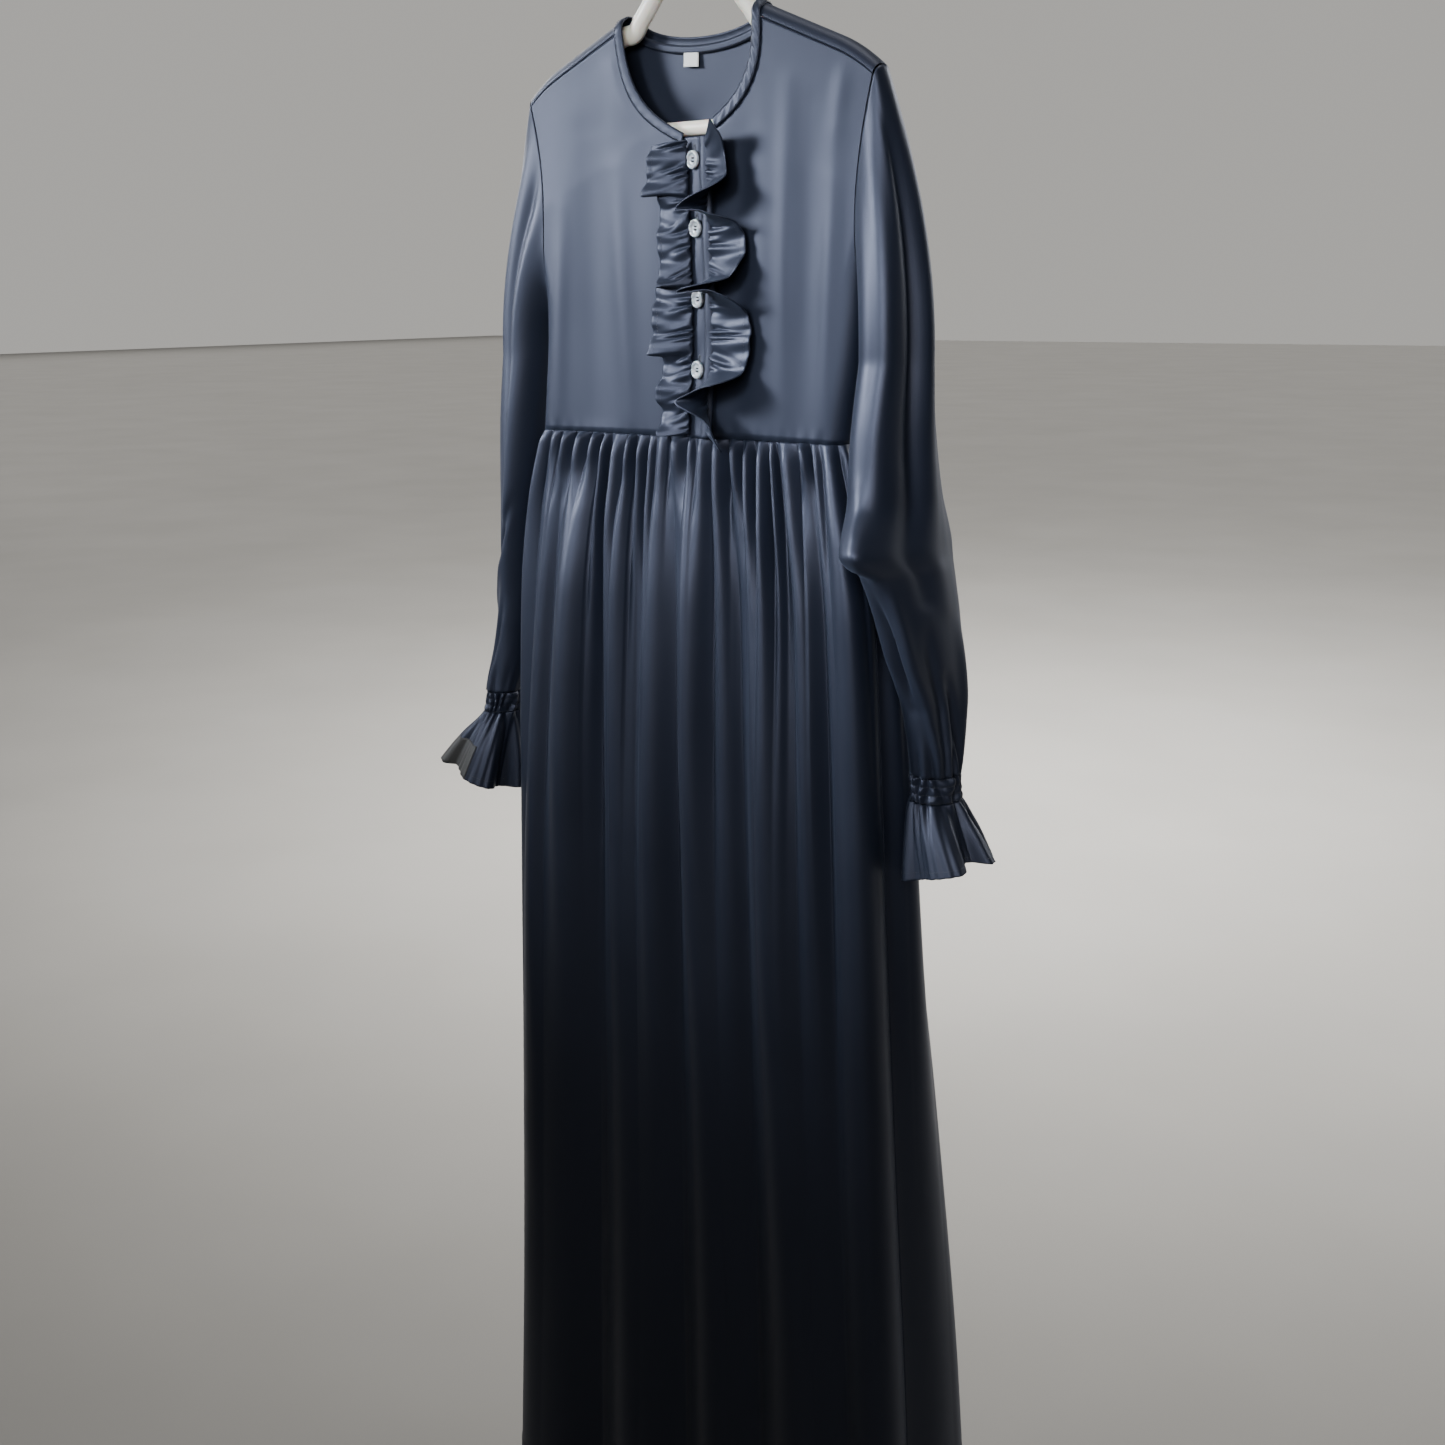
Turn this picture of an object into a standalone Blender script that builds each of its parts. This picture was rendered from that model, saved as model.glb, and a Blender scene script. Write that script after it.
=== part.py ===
"""A long dark satin abaya with a buttoned, ruffled placket, on a moulded clothes hanger.

Metres, +Z up.  The wearer's front faces -Y and the wearer's left is at +X.  The origin is the
inside crown of the hanger's hook.  Heights on the garment are given as a drop below the collar
level, which lies a little below the point where shoulder and neck meet.
"""
import math

import bmesh
import bpy
import numpy as np
from mathutils import Vector

NAME = "abaya_on_hanger"

# Cloth
CLOTH = 0.0015
FRILL = 0.0012
DOUBLE = 0.0022
SEAM = 0.0004
ARM_GAP = 0.0011

# Shoulders and neck
NECK_Z = -0.112
NECK_POINT = 0.008
NECK_HALF = 0.070
SHOULDER_HALF = 0.187
SHOULDER_SLOPE = 0.43
SHOULDER_ROUND_FROM = 0.150
SHOULDER_ROUND = 6.0
RIDGE_RADIUS = 0.011
SHOULDER_SEAM = 0.017
FRONT_NECK_DROP = 0.094
BACK_NECK_DROP = 0.012
FRONT_NECK_CURVE = 1.45
BINDING = 0.0085
BACK_BAND = 0.0065

# Body
UNDERARM_DROP = 0.235
ARMHOLE_HOLLOW = 0.010
WAIST_DROP = 0.348
# drop, centre x, half width, front depth, back depth
BODICE = (
    (0.000, -0.002, 0.205, 0.011, 0.011),
    (0.045, 0.001, 0.203, 0.012, 0.012),
    (0.100, 0.002, 0.200, 0.013, 0.014),
    (0.235, 0.000, 0.174, 0.015, 0.018),
    (0.348, -0.012, 0.171, 0.015, 0.018),
)

# Placket
BAND_HALF = 0.0140
BAND_LEFT_OF_NECK = 0.010
BAND_LEFT_OF_WAIST = 0.024
BAND_RISE = 0.005
UNDER_BAND_BACK = 0.0026
BUTTON_DROPS = (0.114, 0.170, 0.229, 0.289)
BUTTON_RADIUS = 0.0078
BUTTON_ACROSS = -0.20
BUTTON_OFF_BAND = 0.0028

# Ruffles of the placket: place along, width, slope at root and at edge in degrees, shift of the edge
FRILL_ROOT_LIFT = 0.0024
FRILL_ROOT_GAP = 0.0016
FRILL_GATHERS = 15
FRILL_GATHER = 0.0011
RIGHT_FRILL = (
    (0.00, 0.030, 12, 20, 0.003),
    (0.09, 0.033, 22, 28, 0.003),
    (0.16, 0.035, 34, 45, 0.001),
    (0.22, 0.022, 18, 26, -0.002),
    (0.33, 0.026, 24, 34, 0.000),
    (0.45, 0.022, 32, 50, 0.003),
    (0.50, 0.019, 50, 64, 0.000),
    (0.55, 0.030, 20, 26, -0.002),
    (0.63, 0.032, 24, 34, 0.000),
    (0.70, 0.031, 38, 54, 0.003),
    (0.76, 0.021, 22, 32, 0.000),
    (0.86, 0.025, 34, 52, 0.000),
    (0.93, 0.021, 28, 46, 0.000),
    (1.00, 0.020, 34, 56, 0.002),
)
LEFT_FRILL = (
    (0.00, 0.024, 50, 62, -0.014),
    (0.05, 0.026, 30, 45, -0.008),
    (0.12, 0.026, 24, 52, 0.000),
    (0.17, 0.026, 50, 100, 0.003),
    (0.215, 0.027, 86, 148, 0.004),
    (0.26, 0.026, 60, 80, -0.004),
    (0.30, 0.032, 14, 30, -0.004),
    (0.37, 0.036, 10, 26, 0.000),
    (0.44, 0.030, 24, 55, 0.005),
    (0.485, 0.026, 86, 148, 0.006),
    (0.53, 0.030, 50, 64, -0.006),
    (0.58, 0.036, 14, 30, -0.003),
    (0.67, 0.042, 8, 22, 0.000),
    (0.76, 0.038, 16, 36, 0.006),
    (0.81, 0.032, 60, 110, 0.008),
    (0.85, 0.031, 86, 148, 0.007),
    (0.91, 0.026, 60, 84, 0.006),
    (1.00, 0.030, 30, 40, 0.014),
)

# Sleeves, wearer's left and right: drop, centre x, centre y, half width, half depth, tilt
LEFT_SLEEVE = (
    (0.280, 0.2050, 0.002, 0.0245, 0.040, 0.000),
    (0.335, 0.2060, 0.003, 0.0260, 0.046, 0.000),
    (0.390, 0.2080, 0.003, 0.0280, 0.054, 0.000),
    (0.430, 0.2110, -0.008, 0.0280, 0.074, 0.000),
    (0.460, 0.2150, -0.004, 0.0270, 0.071, 0.000),
    (0.485, 0.2200, 0.014, 0.0260, 0.051, 0.000),
    (0.510, 0.2260, 0.025, 0.0240, 0.039, 0.000),
    (0.560, 0.2310, 0.025, 0.0220, 0.034, 0.000),
    (0.608, 0.2345, 0.023, 0.0210, 0.026, 0.000),
    (0.627, 0.2350, 0.023, 0.0205, 0.023, 0.000),
)
RIGHT_SLEEVE = (
    (0.280, -0.2100, 0.018, 0.0230, 0.040, 0.000),
    (0.335, -0.2150, 0.020, 0.0230, 0.046, 0.000),
    (0.390, -0.2210, 0.024, 0.0225, 0.050, 0.000),
    (0.430, -0.2270, 0.028, 0.0215, 0.052, 0.000),
    (0.465, -0.2330, 0.030, 0.0215, 0.050, 0.000),
    (0.505, -0.2400, 0.029, 0.0210, 0.043, 0.000),
    (0.550, -0.2480, 0.021, 0.0195, 0.034, 0.000),
    (0.588, -0.2545, 0.010, 0.0185, 0.026, 0.000),
    (0.603, -0.2575, 0.004, 0.0175, 0.021, 0.000),
    (0.615, -0.2590, 0.000, 0.0165, 0.018, 0.000),
)
LEFT_CUFF = (
    (0.628, 0.2350, 0.023, 0.0205, 0.023, 0.000),
    (0.639, 0.2355, 0.023, 0.0203, 0.023, 0.000),
    (0.650, 0.2360, 0.023, 0.0205, 0.023, 0.000),
)
RIGHT_CUFF = (
    (0.616, -0.2590, 0.000, 0.0165, 0.018, 0.000),
    (0.626, -0.2605, 0.000, 0.0162, 0.018, 0.000),
    (0.636, -0.2625, 0.000, 0.0165, 0.018, 0.000),
)
LEFT_CUFF_FRILL = (
    (0.651, 0.2360, 0.023, 0.0205, 0.023, 0.000),
    (0.659, 0.2385, 0.023, 0.0230, 0.026, 0.000),
    (0.684, 0.2470, 0.022, 0.0285, 0.033, 0.000),
    (0.713, 0.2550, 0.021, 0.0335, 0.038, 0.000),
)
RIGHT_CUFF_FRILL = (
    (0.637, -0.2625, 0.000, 0.0165, 0.018, 0.000),
    (0.645, -0.2650, -0.001, 0.0190, 0.022, 0.001),
    (0.672, -0.2740, -0.004, 0.0275, 0.031, 0.004),
    (0.703, -0.2830, -0.007, 0.0350, 0.038, 0.009),
)
CUFF_GATHERS = 18
CUFF_GATHER = 0.0011
CUFF_FRILL_WAVES = 9
CUFF_FRILL_WAVE = 0.0075
LABEL = 0.0010
LABEL_COLUMNS = (2, 3, 4, 5)

# Skirt: drop, centre x, half width, depth and corner radius of front, of back, gathers, folds, sways
SKIRT = (
    (0.3480, -0.0120, 0.171, 0.015, 0.015, 0.018, 0.018, 0.0018, 0.0000, 0.0000),
    (0.3600, -0.0118, 0.174, 0.016, 0.016, 0.020, 0.020, 0.0032, 0.0006, 0.0000),
    (0.3850, -0.0115, 0.179, 0.018, 0.018, 0.024, 0.022, 0.0037, 0.0024, 0.0000),
    (0.4300, -0.0105, 0.187, 0.021, 0.021, 0.030, 0.026, 0.0033, 0.0060, 0.0005),
    (0.5000, -0.0090, 0.195, 0.024, 0.024, 0.037, 0.030, 0.0021, 0.0095, 0.0020),
    (0.6100, -0.0090, 0.202, 0.027, 0.027, 0.046, 0.032, 0.0007, 0.0105, 0.0060),
    (0.7800, -0.0080, 0.210, 0.030, 0.030, 0.060, 0.034, 0.0000, 0.0070, 0.0120),
    (1.0000, -0.0050, 0.220, 0.033, 0.033, 0.080, 0.036, 0.0000, 0.0035, 0.0155),
    (1.2500, -0.0010, 0.232, 0.038, 0.038, 0.100, 0.040, 0.0000, 0.0020, 0.0175),
    (1.4700, 0.0000, 0.242, 0.042, 0.042, 0.108, 0.042, 0.0000, 0.0015, 0.0190),
)
FRONT_GATHERS = 25
BACK_GATHERS = 20
FRONT_FOLD_VALLEYS = (0.00, 0.075, 0.14, 0.29, 0.396, 0.50, 0.606, 0.674, 0.813, 0.884, 1.00)
FRONT_SWAY_VALLEYS = (0.00, 0.28, 0.50, 0.68, 0.88, 1.00)
BACK_FOLD_VALLEYS = (0.00, 0.09, 0.19, 0.27, 0.38, 0.46, 0.57, 0.66, 0.79, 0.90, 1.00)
BACK_SWAY_VALLEYS = (0.00, 0.19, 0.38, 0.62, 0.81, 1.00)

# Hanger: half of the arm's centre line as x and drop
ARM_LINE = (
    (0.000, -0.048),
    (0.015, -0.045),
    (0.030, -0.036),
    (0.042, -0.024),
    (0.051, -0.013),
    (0.059, -0.004),
    (0.067, 0.0054),
)
ARM_RADIUS = 0.0085
ARM_FLATNESS = 0.70
ARM_CLEARANCE = 0.0009
ARM_END = 0.177
BAR_DROP = 0.087
BAR_RADIUS = 0.0063
BAR_FLATNESS = 0.85
STRUT_X = 0.150
STRUT_TOP_DROP = 0.0518
STRUT_BEND = 0.020
HOOK_WIRE = 0.0021
HOOK_INSIDE = 0.0175

LEVEL_ROWS_FROM = 0.200
SEAM_ROWS = 3
ARMHOLE_STEPS = 8
COLUMNS_HALF_BODY = 8
COLUMNS_FOR_GATHER = 4
COLUMNS_SLEEVE = 2 * ARMHOLE_STEPS
COLUMNS_FRILL = 48

SATIN = ("satin", (0.010, 0.014, 0.026), 0.38, 0.0)
IVORY = ("ivory", (0.80, 0.76, 0.66), 0.42, 0.0)
STEEL = ("steel", (0.62, 0.61, 0.58), 0.28, 1.0)
PEARL = ("pearl", (0.72, 0.74, 0.76), 0.22, 0.0)
LABEL_WHITE = ("label_white", (0.85, 0.85, 0.83), 0.70, 0.0)
LABEL_BLACK = ("label_black", (0.006, 0.006, 0.008), 0.75, 0.0)


def clear_scene():
    """Remove every object that the file opened with."""
    for item in list(bpy.data.objects):
        bpy.data.objects.remove(item, do_unlink=True)


def new_collection(name):
    """Return a new collection linked to the scene."""
    group = bpy.data.collections.new(name)
    bpy.context.scene.collection.children.link(group)
    return group


def finish(item, group, look):
    """Put an object in the collection, with a material of its own."""
    name, colour, roughness, metallic = look
    material = bpy.data.materials.new(f"{item.name}_{name}")
    material.use_nodes = True
    shader = material.node_tree.nodes["Principled BSDF"]
    shader.inputs["Base Color"].default_value = (*colour, 1.0)
    shader.inputs["Roughness"].default_value = roughness
    shader.inputs["Metallic"].default_value = metallic
    item.data.materials.append(material)
    for other in list(item.users_collection):
        other.objects.unlink(item)
    group.objects.link(item)
    return item


def cloth(name, rows, wall, group, look=SATIN, closed=False):
    """Make a walled piece of cloth from rows of points on its middle surface."""
    shape = bmesh.new()
    grid = [[shape.verts.new(point) for point in row] for row in rows]
    for low, high in zip(grid, grid[1:]):
        count = len(low)
        for k in range(count if closed else count - 1):
            shape.faces.new((low[k], low[(k + 1) % count], high[(k + 1) % count], high[k]))
    return walled(name, shape, wall, group, look)


def walled(name, shape, wall, group, look):
    """Turn faces on a middle surface into an object with a wall."""
    mesh = bpy.data.meshes.new(name)
    shape.to_mesh(mesh)
    shape.free()
    mesh.shade_smooth()
    item = bpy.data.objects.new(name, mesh)
    bpy.context.scene.collection.objects.link(item)
    solid = item.modifiers.new("wall", "SOLIDIFY")
    solid.thickness = wall
    solid.offset = 0.0
    return finish(item, group, look)


def rod(name, points, radius, group, look, flatness=1.0, sides=2):
    """Make a rod along a line of points, flattened along Y where asked."""
    curve = bpy.data.curves.new(name, "CURVE")
    curve.dimensions = "3D"
    curve.bevel_depth = radius
    curve.bevel_resolution = sides
    curve.use_fill_caps = True
    spline = curve.splines.new("POLY")
    spline.points.add(len(points) - 1)
    for place, point in zip(spline.points, points):
        place.co = (*point, 1.0)
    item = bpy.data.objects.new(name, curve)
    bpy.context.scene.collection.objects.link(item)
    item.scale = (1.0, flatness, 1.0)
    return finish(item, group, look)


def read_table(table, drop):
    """Return the columns of a table of sections at a drop, between its rows."""
    drops = [row[0] for row in table]
    return [float(np.interp(drop, drops, column)) for column in list(zip(*table))[1:]]


def smooth_table(table, place):
    """Return the columns of a table at a place along it, eased between its rows."""
    for low, high in zip(table, table[1:]):
        if place <= high[0]:
            part = (place - low[0]) / (high[0] - low[0])
            part = part * part * (3 - 2 * part)
            return [a + (b - a) * part for a, b in zip(low[1:], high[1:])]
    return list(table[-1][1:])


def ridge(x):
    """Return the height of the shoulder ridge at a distance from the middle."""
    rounding = SHOULDER_ROUND * max(abs(x) - SHOULDER_ROUND_FROM, 0.0) ** 2
    return NECK_Z + NECK_POINT - SHOULDER_SLOPE * (abs(x) - NECK_HALF) - rounding


OVER = RIDGE_RADIUS * (math.pi / 2 - 1)


def reach_to(x, z):
    """Return how far along the cloth a height lies from the ridge."""
    return ridge(x) + OVER - z


def body_depth(x, z, back, lift):
    """Return how far the cloth stands off the middle plane, rounded in at the side."""
    half, front_depth, back_depth = read_table(BODICE, NECK_Z - z)[1:]
    full = back_depth if back else front_depth
    fall = min(max((ridge(x) - RIDGE_RADIUS - z) / 0.10, 0.0), 1.0)
    depth = RIDGE_RADIUS + (full - RIDGE_RADIUS) * fall
    past = abs(x) - (half - depth)
    if past > 0:
        return math.sqrt(max((depth + lift) ** 2 - past ** 2, 0.0))
    return depth + lift


def body_point(x, reach, lift=0.0):
    """Return a point of the bodice's cloth.

    The reach is the way along the cloth from the shoulder ridge, minus in front and plus behind.
    """
    back = reach > 0
    side = 1 if back else -1
    arc = RIDGE_RADIUS * math.pi / 2
    if abs(reach) < arc:
        turn = abs(reach) / RIDGE_RADIUS
        y = (RIDGE_RADIUS + lift) * math.sin(turn)
        z = ridge(x) - RIDGE_RADIUS + (RIDGE_RADIUS + lift) * math.cos(turn)
    else:
        z = ridge(x) + OVER - abs(reach)
        y = body_depth(x, z, back, lift)
    return Vector((x + read_table(BODICE, NECK_Z - z)[0], side * y, z))


def neck_curve(part, back, out):
    """Return x and reach on the neck's edge, from the ridge at 0 to the middle at 1."""
    if back:
        turn = math.pi / 2 * part
        x = (NECK_HALF + out) * math.cos(turn)
        reach = reach_to(x, NECK_Z - (BACK_NECK_DROP + out) * math.sin(turn))
        return x, reach - reach_to(NECK_HALF + out, NECK_Z) * (1 - part) ** 2
    full = reach_to(0.0, NECK_Z - FRONT_NECK_DROP) + out
    x = (NECK_HALF + out) * math.cos(math.pi / 2 * part ** FRONT_NECK_CURVE)
    return x, -full * part


def neck_part(reach, back, out):
    """Return the part of the neck's edge at which the cloth has come a way from the ridge."""
    low, high = 0.0, 1.0
    for _ in range(30):
        middle = (low + high) / 2
        low, high = (middle, high) if abs(neck_curve(middle, back, out)[1]) < reach else (low, middle)
    return low


def armhole(part, back, out=0.0):
    """Return x and reach on the armhole, from the ridge at 0 to the underarm at 1."""
    half = underarm_half()
    full = reach_to(half, NECK_Z - UNDERARM_DROP)
    hollow = ARMHOLE_HOLLOW * math.sin(math.pi * part)
    x = SHOULDER_HALF + (half - SHOULDER_HALF) * part - hollow
    return x + out, (full if back else -full) * part


def underarm_half():
    """Return the body's half width at the underarm."""
    return read_table(BODICE, UNDERARM_DROP)[1]


def side_seam(z, back):
    """Return x and reach on the side seam, half a seam short of it."""
    half, front_depth, back_depth = read_table(BODICE, NECK_Z - z)[1:]
    depth = back_depth if back else front_depth
    x = half - depth + math.sqrt(depth ** 2 - SEAM ** 2)
    return x, reach_to(x, z) * (1 if back else -1)


def outer_edge(back):
    """Return x and reach up the side seam and then up the armhole, short of the ridge."""
    waist = NECK_Z - WAIST_DROP + SEAM
    underarm_z = NECK_Z - UNDERARM_DROP
    edge = []
    for k in range(SEAM_ROWS):
        edge.append(side_seam(waist + (underarm_z - waist) * k / SEAM_ROWS, back))
    edge.append(armhole(0.985, back))
    edge += [armhole(k / ARMHOLE_STEPS, back) for k in range(ARMHOLE_STEPS - 1, 0, -1)]
    return edge


def band_centre(z):
    """Return how far left of the bodice's middle the placket lies."""
    drops = (FRONT_NECK_DROP, WAIST_DROP)
    return float(np.interp(NECK_Z - z, drops, (BAND_LEFT_OF_NECK, BAND_LEFT_OF_WAIST)))


def between(inner, outer, columns):
    """Return x and reach across a row, closer together toward its outer end.

    A low row keeps its height across, and a row at the shoulder keeps its way from the ridge.
    """
    level = math.copysign(min(abs(inner[1]) / LEVEL_ROWS_FROM, 1.0), inner[1])
    row = []
    for k in range(columns + 1):
        part = math.sin(math.pi / 2 * k / columns)
        x = inner[0] + (outer[0] - inner[0]) * part
        reach = inner[1] + (outer[1] - inner[1]) * part
        chord = ridge(inner[0]) + (ridge(outer[0]) - ridge(inner[0])) * part
        row.append((x, reach + level * (ridge(x) - chord)))
    return row


def bodice_front(side, group, name):
    """Make one half of the bodice's front, side +1 being the wearer's left."""
    low_rows = 5
    neck_rows = SEAM_ROWS + ARMHOLE_STEPS + 1 - low_rows
    waist = NECK_Z - WAIST_DROP + SEAM
    out = BINDING + SEAM * 3
    edge = BAND_HALF + SEAM * 2
    corner_x = BAND_LEFT_OF_NECK * side + edge
    corner = (math.acos(corner_x / (NECK_HALF + out)) * 2 / math.pi) ** (1 / FRONT_NECK_CURVE)
    corner_z = ridge(corner_x) + OVER + neck_curve(corner, False, out)[1]
    inner = []
    for k in range(low_rows):
        z = waist + (corner_z - waist) * k / low_rows
        x = band_centre(z) * side + edge
        inner.append((x, -reach_to(x, z)))
    top = SHOULDER_SEAM / (reach_to(0.0, NECK_Z - FRONT_NECK_DROP) + out)
    for k in range(neck_rows):
        inner.append(neck_curve(corner + (top - corner) * k / (neck_rows - 1), False, out))
    full = reach_to(underarm_half(), NECK_Z - UNDERARM_DROP)
    outer = outer_edge(False) + [armhole(SHOULDER_SEAM / full, False)]
    rows = []
    for a, b in zip(inner, outer):
        rows.append([body_point_on(side, x, reach) for x, reach in between(a, b, COLUMNS_HALF_BODY)])
    return cloth(name, rows, CLOTH, group)


def body_point_on(side, x, reach, lift=0.0):
    """Return a bodice point given on the wearer's left, mirrored about its middle for the right."""
    point = body_point(x, reach, lift)
    if side > 0:
        return point
    centre = read_table(BODICE, NECK_Z - point.z)[0]
    return Vector((2 * centre - point.x, point.y, point.z))


def bodice_back(group):
    """Make the bodice's back, which passes over the shoulder ridge to the seam in front."""
    low_rows = 6
    neck_rows = SEAM_ROWS + ARMHOLE_STEPS - low_rows
    waist = NECK_Z - WAIST_DROP + SEAM
    out = BINDING + SEAM * 3
    middle = ridge(0.0) + OVER - neck_curve(1.0, True, out)[1]
    inner = []
    for k in range(low_rows):
        inner.append((0.0, reach_to(0.0, waist + (middle - waist) * k / low_rows)))
    over_ridge = [SHOULDER_SEAM * k / 3 for k in (3, 2, 1, 0, -1, -2)] + [SEAM * 2 - SHOULDER_SEAM]
    last = neck_part(over_ridge[0], True, out)
    for k in range(neck_rows):
        inner.append(neck_curve(1.0 + (last - 1.0) * k / neck_rows, True, out))
    outer = outer_edge(True)
    for reach in over_ridge:
        inner.append(neck_curve(neck_part(abs(reach), reach > 0, out), reach > 0, out))
        arm_full = abs(armhole(1.0, reach > 0)[1])
        outer.append(armhole(abs(reach) / arm_full, reach > 0))
    rows = []
    for a, b in zip(inner, outer):
        half = between(a, b, COLUMNS_HALF_BODY)
        right = [body_point_on(-1, x, reach) for x, reach in reversed(half)]
        left = [body_point_on(1, x, reach) for x, reach in half]
        meets = a[0] == 0.0 or abs(right[-1].x - left[0].x) < 1e-5
        rows.append(right[:-1] + left if meets else right + left)
    return weld_back(rows, group)


def weld_back(rows, group):
    """Make the back from rows that are whole up to the neck and parted above it."""
    whole = 2 * COLUMNS_HALF_BODY + 1
    shape = bmesh.new()
    grid = [[shape.verts.new(point) for point in row] for row in rows]
    for low, high in zip(grid, grid[1:]):
        for k in range(whole - 1):
            a, b = pick(low, k, k < COLUMNS_HALF_BODY), pick(low, k + 1, k < COLUMNS_HALF_BODY)
            c, d = pick(high, k + 1, k < COLUMNS_HALF_BODY), pick(high, k, k < COLUMNS_HALF_BODY)
            shape.faces.new((a, b, c, d))
    return walled("bodice_back", shape, CLOTH, group, SATIN)


def pick(row, k, on_right):
    """Return a row's vertex by its place across, in a row that is whole or parted."""
    whole = 2 * COLUMNS_HALF_BODY + 1
    if len(row) == whole or on_right:
        return row[k]
    return row[k + 1]


def neck_strip(side_parts, lift, inner_out, outer_out, across):
    """Return rows of points along the neck, each row running across the strip."""
    rows = []
    for side, back, part in side_parts:
        row = []
        for k in range(across + 1):
            x, reach = neck_curve(part, back, inner_out + (outer_out - inner_out) * k / across)
            row.append(body_point_on(side, x, reach, lift))
        rows.append(row)
    return rows


def neck_binding(group):
    """Make the narrow binding, from the placket's right edge round the back to its left edge."""
    front_stations = 14
    back_stations = 8
    stop_right = (math.acos((BAND_HALF + SEAM - BAND_LEFT_OF_NECK) / (NECK_HALF + BINDING)) * 2 / math.pi)
    stop_left = (math.acos((BAND_HALF + SEAM * 3 + BAND_LEFT_OF_NECK) / NECK_HALF) * 2 / math.pi)
    stations = []
    for side, stop in ((-1, stop_right), (1, stop_left)):
        end = stop ** (1 / FRONT_NECK_CURVE) * 0.99
        front = [(side, False, end * (1 - k / front_stations)) for k in range(front_stations)]
        back = [(side, True, k / back_stations) for k in range(back_stations)]
        stations.append(front + back)
    right, left = stations
    whole = right + [(1, True, 1.0)] + list(reversed(left))
    cloth("neck_binding", neck_strip(whole, 0.0, 0.0, BINDING, 2), DOUBLE, group)


def neck_band(group):
    """Make the facing band inside the back neck, below the binding."""
    stations = 8
    parts = [(-1, True, 0.35 + 0.65 * k / stations) for k in range(stations)]
    parts += [(1, True, 1.0 - 0.65 * k / stations) for k in range(stations + 1)]
    inward = -(CLOTH / 2 + SEAM + FRILL / 2)
    rows = neck_strip(parts, inward, BINDING + 0.0015, BINDING + BACK_BAND, 1)
    cloth("neck_band", rows, FRILL, group)


def neck_label(group):
    """Make the bare size label that hangs below the back neck band."""
    width, height, top_drop, left = 0.014, 0.013, 0.023, -0.010
    inward = -(CLOTH / 2 + SEAM * 2 + FRILL * 1.6)
    rows = []
    for k in range(3):
        z = NECK_Z - top_drop - height * k / 2
        row = []
        for x in (left - width / 2, left, left + width / 2):
            row.append(body_point_on(1 if x > 0 else -1, abs(x), reach_to(abs(x), z), inward))
        rows.append(row)
    cloth("neck_label", rows, 0.0007, group, LABEL_WHITE)


def band_point(across, z, lift=0.0):
    """Return a point of the upper placket band, from -1 at its right edge to 1 at its left."""
    x = band_centre(z) + BAND_HALF * across
    front = body_depth(abs(x), z, False, 0.0)
    y = -(front + BAND_RISE * (across + 1) / 2 + lift)
    return Vector((x + read_table(BODICE, NECK_Z - z)[0], y, z))


def placket(group):
    """Make the upper band, and the band under it that carries the buttons."""
    rows_count = 9
    top = NECK_Z - FRONT_NECK_DROP - 0.001
    waist = NECK_Z - WAIST_DROP + SEAM
    upper, under = [], []
    for k in range(rows_count + 1):
        z = waist + (top - waist) * k / rows_count
        upper.append([band_point(across, z) for across in (-1.0, -0.4, 0.3, 1.0)])
        row = []
        for across in (-0.92, 0.0, 0.92):
            x = band_centre(z) + BAND_HALF * across
            y = -(body_depth(abs(x), z, False, 0.0) - UNDER_BAND_BACK)
            row.append(Vector((x + read_table(BODICE, NECK_Z - z)[0], y, z)))
        under.append(row)
    cloth("placket_band", upper, DOUBLE, group)
    cloth("placket_under", under, CLOTH, group)


def frill_point(table, side, along, across):
    """Return a point of a placket ruffle, side +1 for the one on the wearer's left."""
    width, root_slope, edge_slope, shift = smooth_table(table, along)
    top = NECK_Z - FRONT_NECK_DROP - 0.004
    bottom = NECK_Z - WAIST_DROP + 0.004
    z = top + (bottom - top) * along
    x = band_centre(z) + side * (BAND_HALF + FRILL_ROOT_GAP)
    y = -(body_depth(abs(x), z, False, 0.0) + FRILL_ROOT_LIFT)
    centre = read_table(BODICE, NECK_Z - z)[0]
    steps = 12
    for k in range(round(across * steps)):
        slope = math.radians(root_slope + (edge_slope - root_slope) * (k + 0.5) / steps)
        x += side * math.cos(slope) * width / steps
        y -= math.sin(slope) * width / steps
    wave = FRILL_GATHER * math.sin(math.pi * across) * math.cos(2 * math.pi * FRILL_GATHERS * along)
    slope = math.radians((root_slope + edge_slope) / 2)
    return Vector((
        x + centre + side * wave * math.sin(slope),
        y - abs(wave) * 0.2 - wave * 0.5 * math.cos(slope),
        z - shift * across,
    ))


def placket_frills(group):
    """Make the two gathered ruffles beside the placket."""
    for name, table, side in (("placket_ruffle_right", RIGHT_FRILL, -1), ("placket_ruffle_left", LEFT_FRILL, 1)):
        rows = []
        for across in (0.0, 1 / 3, 2 / 3, 1.0):
            row = [frill_point(table, side, k / COLUMNS_FRILL, across) for k in range(COLUMNS_FRILL + 1)]
            rows.append(row)
        cloth(name, rows, FRILL, group)


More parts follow.
